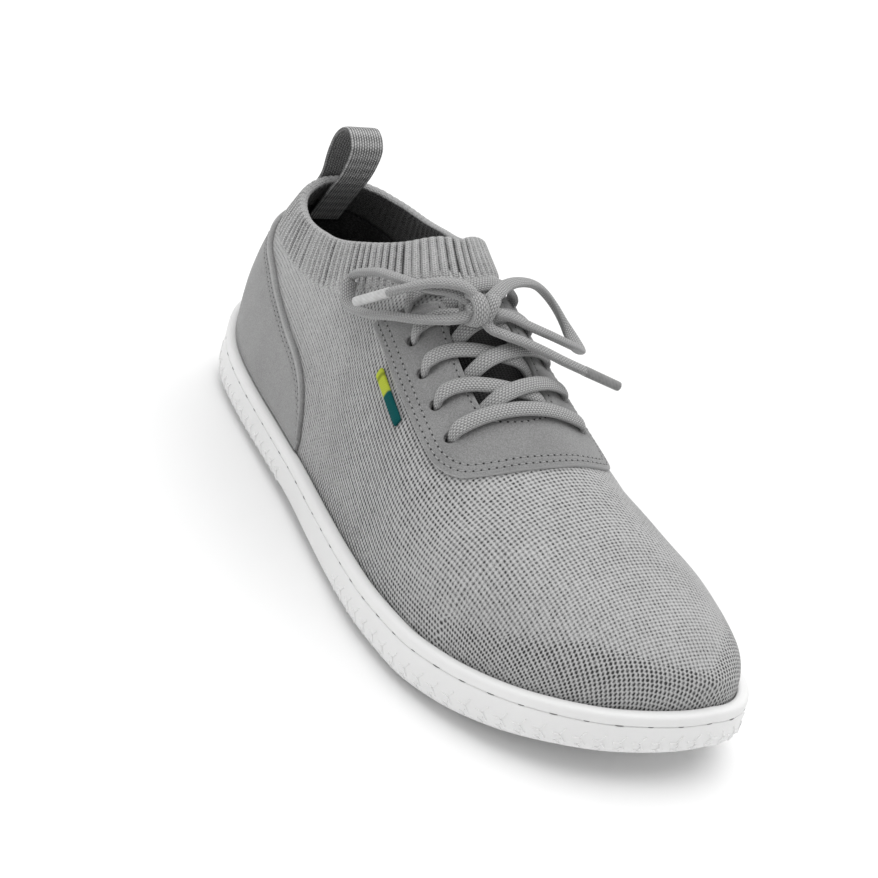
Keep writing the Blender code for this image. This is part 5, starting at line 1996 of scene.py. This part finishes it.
TAG_LENGTH = (0.495, 0.572)
TAG_WIDTH = 0.039
TAG_MIDDLE = -0.5505
tag_share = np.linspace(0, 1, 61)
tag_a = np.linspace(float(a_of(TAG_LENGTH[0])), float(a_of(TAG_LENGTH[1])), 61)[:, None]
tag_across = np.linspace(-1, 1, 17)[None, :]
ends = np.clip(np.minimum(tag_share, 1 - tag_share) / 0.06, 0, 1)[:, None]
ends = np.sqrt(np.clip(1 - (1 - ends) ** 2, 0, 1))
narrow = 0.55 + 0.45 * ends
tag_w = TAG_MIDDLE + 0.5 * TAG_WIDTH * tag_across * narrow
crown = np.sqrt(np.clip(1 - np.abs(tag_across) ** 3.5, 0, 1)) * ends
tag_top = raised(tag_a, tag_w, OVERLAY_GAP + 0.25 + 1.15 * crown)
tag_under = raised(tag_a, tag_w, OVERLAY_GAP + 0.25 - 0.25 * crown)
uv = cloth_uv(tag_a, tag_w)
tag = Grids()
tag.add(tag_top, uv, tag_share=1 - tag_share[:, None])
tag.add(tag_under, uv, tag_share=1 - tag_share[:, None])
dress(tag.piece("ribbon_tag", [ribbon_finish()]), "ribbon_teal", "side_tag")

# %% [markdown]
# ## The lace
# The lace is a braided flat cord, about five millimetres wide. It starts as a bar over the lowest holes.
# Above it each strand comes up between the two sides, crosses its neighbour, lies over the microfibre and
# goes down into its hole, where it gets narrower. A strand is a tube whose height over the last follows
# that way, with a small hook before the hole.

# %% Braid finish


def braid_finish():
    material, shader, start = new_finish("braided_lace", (0.2,) * 3, 0.75, Sheen_Weight=0.25)
    u, v = cloth_map(start)
    strands = v * 20.0
    lean_1 = (u / 1.15 + strands * 0.5).wave()
    lean_2 = (u / 1.15 - strands * 0.5).wave()
    braid = lean_1.maths("MAXIMUM", lean_1, lean_2)
    cells = (u / 1.15 + 0.5 * (strands.floor() % 2.0)).wave() * strands.wave()
    middle = (abs((v * 2.0).fract() - 0.5)).over(0.44, 0.26)
    border = (abs((v * 2.0).fract() - 0.5)).over(0.30, 0.36)
    fleck = noise(start, 2600.0, 2.0, 0.7)
    tone = 0.34 + 0.14 * braid + 0.55 * cells * middle + 0.10 * border + 0.4 * (fleck - 0.5)
    color = tone.over(0.0, 1.05).mix(grey(0.04), grey(0.56))
    plug(color, shader, "Base Color")
    bump(0.6 * braid + 0.5 * cells + 0.15 * fleck, shader, 0.0003, 0.9)
    return material


braid = braid_finish()
LACE_OFF = OVERLAY_GAP + OVERLAY + GAP + LACE_THICK / 2 + 0.2
print("the lace lies", round(LACE_OFF, 1), "mm over the knit")

# %% Strands between the holes
LACE_RINGS = 90
# Heights over the last, and width and thickness where a hole squeezes the lace and where it lies free.
IN_HOLE = -3.4
ON_TOP = LACE_OFF - 0.35
SQUEEZED = (3.7, 3.0)
FREE = (LACE_WIDTH, 2.5)


def lace_strand(grids, hole, other, lift, bulge, hidden=True):
    """A strand that comes from under the far edge of the throat and goes down into its hole."""
    t = np.linspace(0, 1, LACE_RINGS)
    spots = hole + (other - hole) * t[:, None]
    span = float(np.linalg.norm(plain_out(*hole) - plain_out(*other)))
    step_a = span / float(np.linalg.norm(plain_out(hole[0] + 0.01, hole[1]) - plain_out(*hole))) * 0.01
    hook = (t / 0.18) * np.exp(1 - t / 0.18)
    spots[:, 0] -= bulge / span * step_a * hook
    reach = np.clip(t * span / 3.6, 0, 1)
    over = np.sqrt(np.clip(1 - (1 - reach) ** 2, 0, 1))
    off = IN_HOLE + (ON_TOP - IN_HOLE) * over + lift * np.sin(np.pi * np.clip(t * 1.1, 0, 1)) ** 2
    if hidden:
        edge_at = 1 - 7.6 / span
        fall = soft(np.clip((t - (edge_at - 0.24)) / 0.24, 0, 1))
        off = off * (1 - fall) + (-3.1) * fall
        keep = t <= edge_at + 2.6 / span
        spots, off = spots[keep], off[keep]
    else:
        reach = np.clip((1 - t) * span / 3.6, 0, 1)
        over = np.sqrt(np.clip(1 - (1 - reach) ** 2, 0, 1))
        highest = IN_HOLE + (ON_TOP - IN_HOLE) * over + lift
        off = np.minimum(off, highest)
    line = smooth_line(plain_out(spots[:, 0], spots[:, 1], off), LACE_RINGS)
    for _ in range(4):
        line[1:-1] = (line[:-2] + 2 * line[1:-1] + line[2:]) / 4
    run = direction(line)
    even_share, spot_share = np.linspace(0, 1, LACE_RINGS), np.linspace(0, 1, len(spots))
    normals = facing(*(np.interp(even_share, spot_share, spots[:, k]) for k in range(2)))
    aside = np.cross(normals.mean(axis=0), line[-1] - line[0])
    ups = np.cross(run, aside / np.linalg.norm(aside))
    from_hole = np.arange(LACE_RINGS) / 13.0
    free = soft(np.clip(from_hole if hidden else np.minimum(from_hole, from_hole[::-1]), 0, 1))
    width, height = (low + (high - low) * free for low, high in zip(SQUEEZED, FREE))
    add_tube(grids, *tube(line, ups, width, height, 24))
    return length_of(line)


crossings = Grids()
lengths = [lace_strand(crossings, hole_place(0, 0), hole_place(0, 1), 0.4, 0.6, hidden=False)]
for k in range(1, len(EYELETS)):
    lengths.append(lace_strand(crossings, hole_place(k, 0), hole_place(k - 1, 1), -0.3, 3.0))
    lengths.append(lace_strand(crossings, hole_place(k, 1), hole_place(k - 1, 0), 1.7, 1.2))
dress(crossings.piece("lace_strands", [braid]), "lace_grey", "lace_crossings")
print("strands in mm:", [round(v) for v in lengths])

# %% [markdown]
# ## The bow
# A bow is two loops and two ends that leave one knot. What is seen of the knot is the wrap round the
# crossing, so it is built as two rings of lace that lean against each other, round a short core.

# %% The knot
# Share of the length, place w, and height over the last in millimetres.
KNOT = (0.531, -0.080, 10.8)
LOOP_OUTER = (
    (0.533, -0.157, 9.8),
    (0.514, -0.276, 7.8),
    (0.476, -0.396, 5.8),
    (0.432, -0.503, 4.6),
    (0.390, -0.556, 4.4),
    (0.372, -0.515, 4.8),
    (0.404, -0.420, 6.2),
    (0.448, -0.325, 8.2),
    (0.486, -0.235, 10.2),
    (0.510, -0.143, 11.4),
)
LOOP_INNER = (
    (0.520, -0.024, 10.8),
    (0.497, 0.080, 9.4),
    (0.482, 0.190, 9.4),
    (0.471, 0.305, 11.0),
    (0.474, 0.410, 13.4),
    (0.494, 0.480, 14.8),
    (0.523, 0.470, 14.0),
    (0.544, 0.365, 11.4),
    (0.550, 0.230, 9.4),
    (0.547, 0.115, 9.0),
    (0.538, 0.010, 9.8),
)
END_OUTER = (
    (0.515, -0.116, 15.2),
    (0.497, -0.200, 15.4),
    (0.482, -0.285, 13.9),
    (0.466, -0.356, 11.9),
)
END_INNER = (
    (0.551, -0.060, 8.6),
    (0.558, -0.020, 8.4),
    (0.568, 0.060, 8.4),
    (0.576, 0.140, 8.6),
    (0.584, 0.220, 9.6),
    (0.590, 0.290, 11.4),
)


def over_last(rows):
    rows = np.array(rows, float)
    return plain_out(a_of(rows[:, 0]), rows[:, 1], rows[:, 2])


knot_middle = over_last([KNOT])[0]
loop_ends = over_last([LOOP_OUTER[0], LOOP_OUTER[-1], LOOP_INNER[0], LOOP_INNER[-1]])
through = loop_ends[2:].mean(axis=0) - loop_ends[:2].mean(axis=0)
through /= np.linalg.norm(through)
knot_up = np.array([0.25, -0.1, 1.0])
knot_up -= through * (knot_up @ through)
knot_up /= np.linalg.norm(knot_up)
knot_side = np.cross(through, knot_up)


def wrap(grids, shift, tilt, wide, tall, width, height, slant):
    """A ring of lace round the knot's core."""
    turn = np.arange(64) * 2 * np.pi / 64
    side = knot_side * math.cos(tilt) + through * math.sin(tilt)
    ring_line = (
        knot_middle
        + through * shift
        + side * np.cos(turn)[:, None] * wide
        + knot_up * np.sin(turn)[:, None] * tall
        + through * (slant * np.sin(turn + 0.6))[:, None]
    )
    outward = side * np.cos(turn)[:, None] / wide + knot_up * np.sin(turn)[:, None] / tall
    rings, uv = tube(ring_line, outward, width, height, 20, closed=True)
    rings = np.concatenate([rings, rings[:1]])
    uv = np.concatenate([uv, uv[-1:] + [[[length_of(ring_line[-2:]), 0.0]]]])
    grids.add(rings, uv, around=True)


# Place along the knot, tilt, half width and half height of the ring, the lace's two sizes, and slant.
WRAPS = (
    (-2.6, 0.12, 4.5, 4.0, 5.4, 3.0, 0.5),
    (2.4, -0.60, 3.7, 3.3, 4.8, 2.8, 0.8),
)
knot_grid = Grids()
for row in WRAPS:
    wrap(knot_grid, *row)
core = smooth_line([knot_middle - through * 5.4, knot_middle, knot_middle + through * 5.4], 24)
swell = np.sqrt(np.clip(1 - np.linspace(-1, 1, 24) ** 4, 0.02, 1))
add_tube(knot_grid, *tube(core, knot_up, 6.4 * swell, 5.4 * swell, 20))
knot = dress(knot_grid.piece("bow_wraps", [braid]), "lace_grey", "bow_knot")

# %% [markdown]
# Loops and ends are free cord, each a tube of lace along its line that prints its length. The lines
# are the same as those of the solids.

# %% Loops and ends
CORD_WIDTH = 5.2
CORD_THICK = 2.9


def free_lace(name, node, line):
    """A cord of lace as a tube along a line, with its length printed."""
    made = Grids()
    add_tube(made, *tube(line, [0.0, 0.0, 1.0], CORD_WIDTH, CORD_THICK, 24))
    piece = dress(made.piece(name, [braid]), "lace_grey", node)
    print(name, round(length_of(line), 1), "mm long")
    return piece


def into_knot(points):
    """The route with both of its ends carried on half of the way into the knot."""
    first = points[0] + (knot_middle - points[0]) * 0.5
    last = points[-1] + (knot_middle - points[-1]) * 0.5
    return np.concatenate([[first], points, [last]])


outer_loop_line = smooth_line(into_knot(over_last(LOOP_OUTER)), 120)
inner_loop_line = smooth_line(into_knot(over_last(LOOP_INNER)), 120)
free_lace("loop_outer", "bow_loop_outer", outer_loop_line)
free_lace("loop_inner", "bow_loop_inner", inner_loop_line)

# %% [markdown]
# Each end is finished with a plastic tip, shrunk on so that the braid shows as faint ridges under it.

# %% Lace tips
AGLET_LENGTH = 15.0
TIP_WIDTH = 3.3


def tip_finish(name, darkest, lightest):
    material, shader, start = new_finish(name, (lightest,) * 3, 0.35)
    u, v = cloth_map(start)
    ridges = (u / 1.5 + v * 6.0).wave()
    cloud = noise(start, 500.0, 2.0)
    plug((0.15 * ridges + 0.85 * cloud).mix(grey(darkest), grey(lightest)), shader, "Base Color")
    plug(0.28 + 0.2 * cloud, shader, "Roughness")
    bump(ridges + 0.3 * cloud, shader, 0.00006, 0.5)
    return material


# Share of the tip's length, and share of its width there.
TIP_SECTION = (
    (0.0, 0.90),
    (0.02, 1.0),
    (0.06, 1.02),
    (0.5, 1.0),
    (0.9, 0.98),
    (0.97, 0.97),
    (0.99, 0.94),
    (1.0, 0.86),
)
# Darkest and lightest tone of the plastic. Both tips are the same plastic: the outer one is painted lighter
# and the inner one darker, as painted light and shade.
TIP_LIT_AND_SHADED_TONES = {"outer": (0.40, 0.70), "inner": (0.16, 0.34)}
for side, rows in (("outer", END_OUTER), ("inner", END_INNER)):
    seen = smooth_line(over_last(rows), 9)
    aim = (seen[-1] - seen[-2]) / np.linalg.norm(seen[-1] - seen[-2])
    start = seen[-1] + aim * GAP
    share, wide = np.array(TIP_SECTION).T
    places = start + aim * (share * AGLET_LENGTH)[:, None]
    tip_grid = Grids()
    add_tube(tip_grid, *tube(places, [0.0, 0.0, 1.0], TIP_WIDTH * wide, TIP_WIDTH * wide, 24))
    finish = tip_finish(f"lace_tip_{side}", *TIP_LIT_AND_SHADED_TONES[side])
    tip = dress(tip_grid.piece(f"tip_{side}", [finish]), "aglet_grey", f"aglet_{side}")
    route = np.concatenate([[knot_middle], over_last(rows), [start + aim * 0.2]])
    line = smooth_line(route, 60)
    free_lace(f"end_{side}", f"lace_end_{side}", line)

# %% [markdown]
# ## Floor and light
# A product picture on white needs a floor that is brighter than the shoe's lightest part and a soft light
# from nearly everywhere, so only the ground under the shoe is in shade. A very wide sun lights all of the
# floor alike, the world fills in, and two area lights give the shoe its form. The camera sees the world
# as pure white, so floor and sky meet without a line.

# %% Floor
bpy.ops.mesh.primitive_plane_add(size=14.0)
floor = bpy.context.object
floor.name = "floor"
floor_material, floor_shader, _ = new_finish("floor_white", (0.95, 0.95, 0.95), 0.9)
floor_shader.inputs["Specular IOR Level"].default_value = 0.0
floor.data.materials.append(floor_material)

# %% Lights
SKY_FILL = 0.44
SKY_SEEN = 1.05
world = bpy.data.worlds.new("studio")
world.use_nodes = True
world.node_tree.nodes["Background"].inputs["Color"].default_value = (1.0, 1.0, 1.0, 1.0)
sky_seen = world.node_tree.nodes.new("ShaderNodeLightPath").outputs["Is Camera Ray"]
sky = world.node_tree.nodes.new("ShaderNodeMapRange")
sky.inputs["To Min"].default_value = SKY_FILL
sky.inputs["To Max"].default_value = SKY_SEEN
world.node_tree.links.new(sky_seen, sky.inputs["Value"])
world.node_tree.links.new(sky.outputs["Result"], world.node_tree.nodes["Background"].inputs["Strength"])
bpy.context.scene.world = world

# Power in watts for a square metre, width and lean in degrees.
SUN_POWER = 2.15
SUN_WIDTH = 70
SUN_LEAN = (-12, -3)
# Name, place in metres, width, power in watts.
LIGHTS = (
    ("side_light", (-0.25, -1.50, 0.70), 1.0, 3.4),
    ("back_light", (-1.10, 1.00, 0.90), 0.9, 2.0),
)
for name, place, size, power in LIGHTS:
    lamp = bpy.data.lights.new(name, "AREA")
    lamp.shape = "SQUARE"
    lamp.size = size
    lamp.energy = power
    made = bpy.data.objects.new(name, lamp)
    bpy.context.scene.collection.objects.link(made)
    made.location = place
    aim_at = Vector((0.0, 0.0, 0.04)) - Vector(place)
    made.rotation_euler = aim_at.to_track_quat("-Z", "Y").to_euler()
sun = bpy.data.lights.new("top_sun", "SUN")
sun.energy = SUN_POWER
sun.angle = math.radians(SUN_WIDTH)
sun_place = bpy.data.objects.new("top_sun", sun)
bpy.context.scene.collection.objects.link(sun_place)
sun_place.rotation_euler = (math.radians(SUN_LEAN[0]), math.radians(SUN_LEAN[1]), 0.0)
bpy.context.scene.view_settings.view_transform = "Standard"
print("lights: top_sun,", [row[0] for row in LIGHTS])

# %% Tidy away the stamps
for shape in (big_twig, small_twig, seam_thread, stitch, needle, pin):
    bpy.data.objects.remove(shape, do_unlink=True)
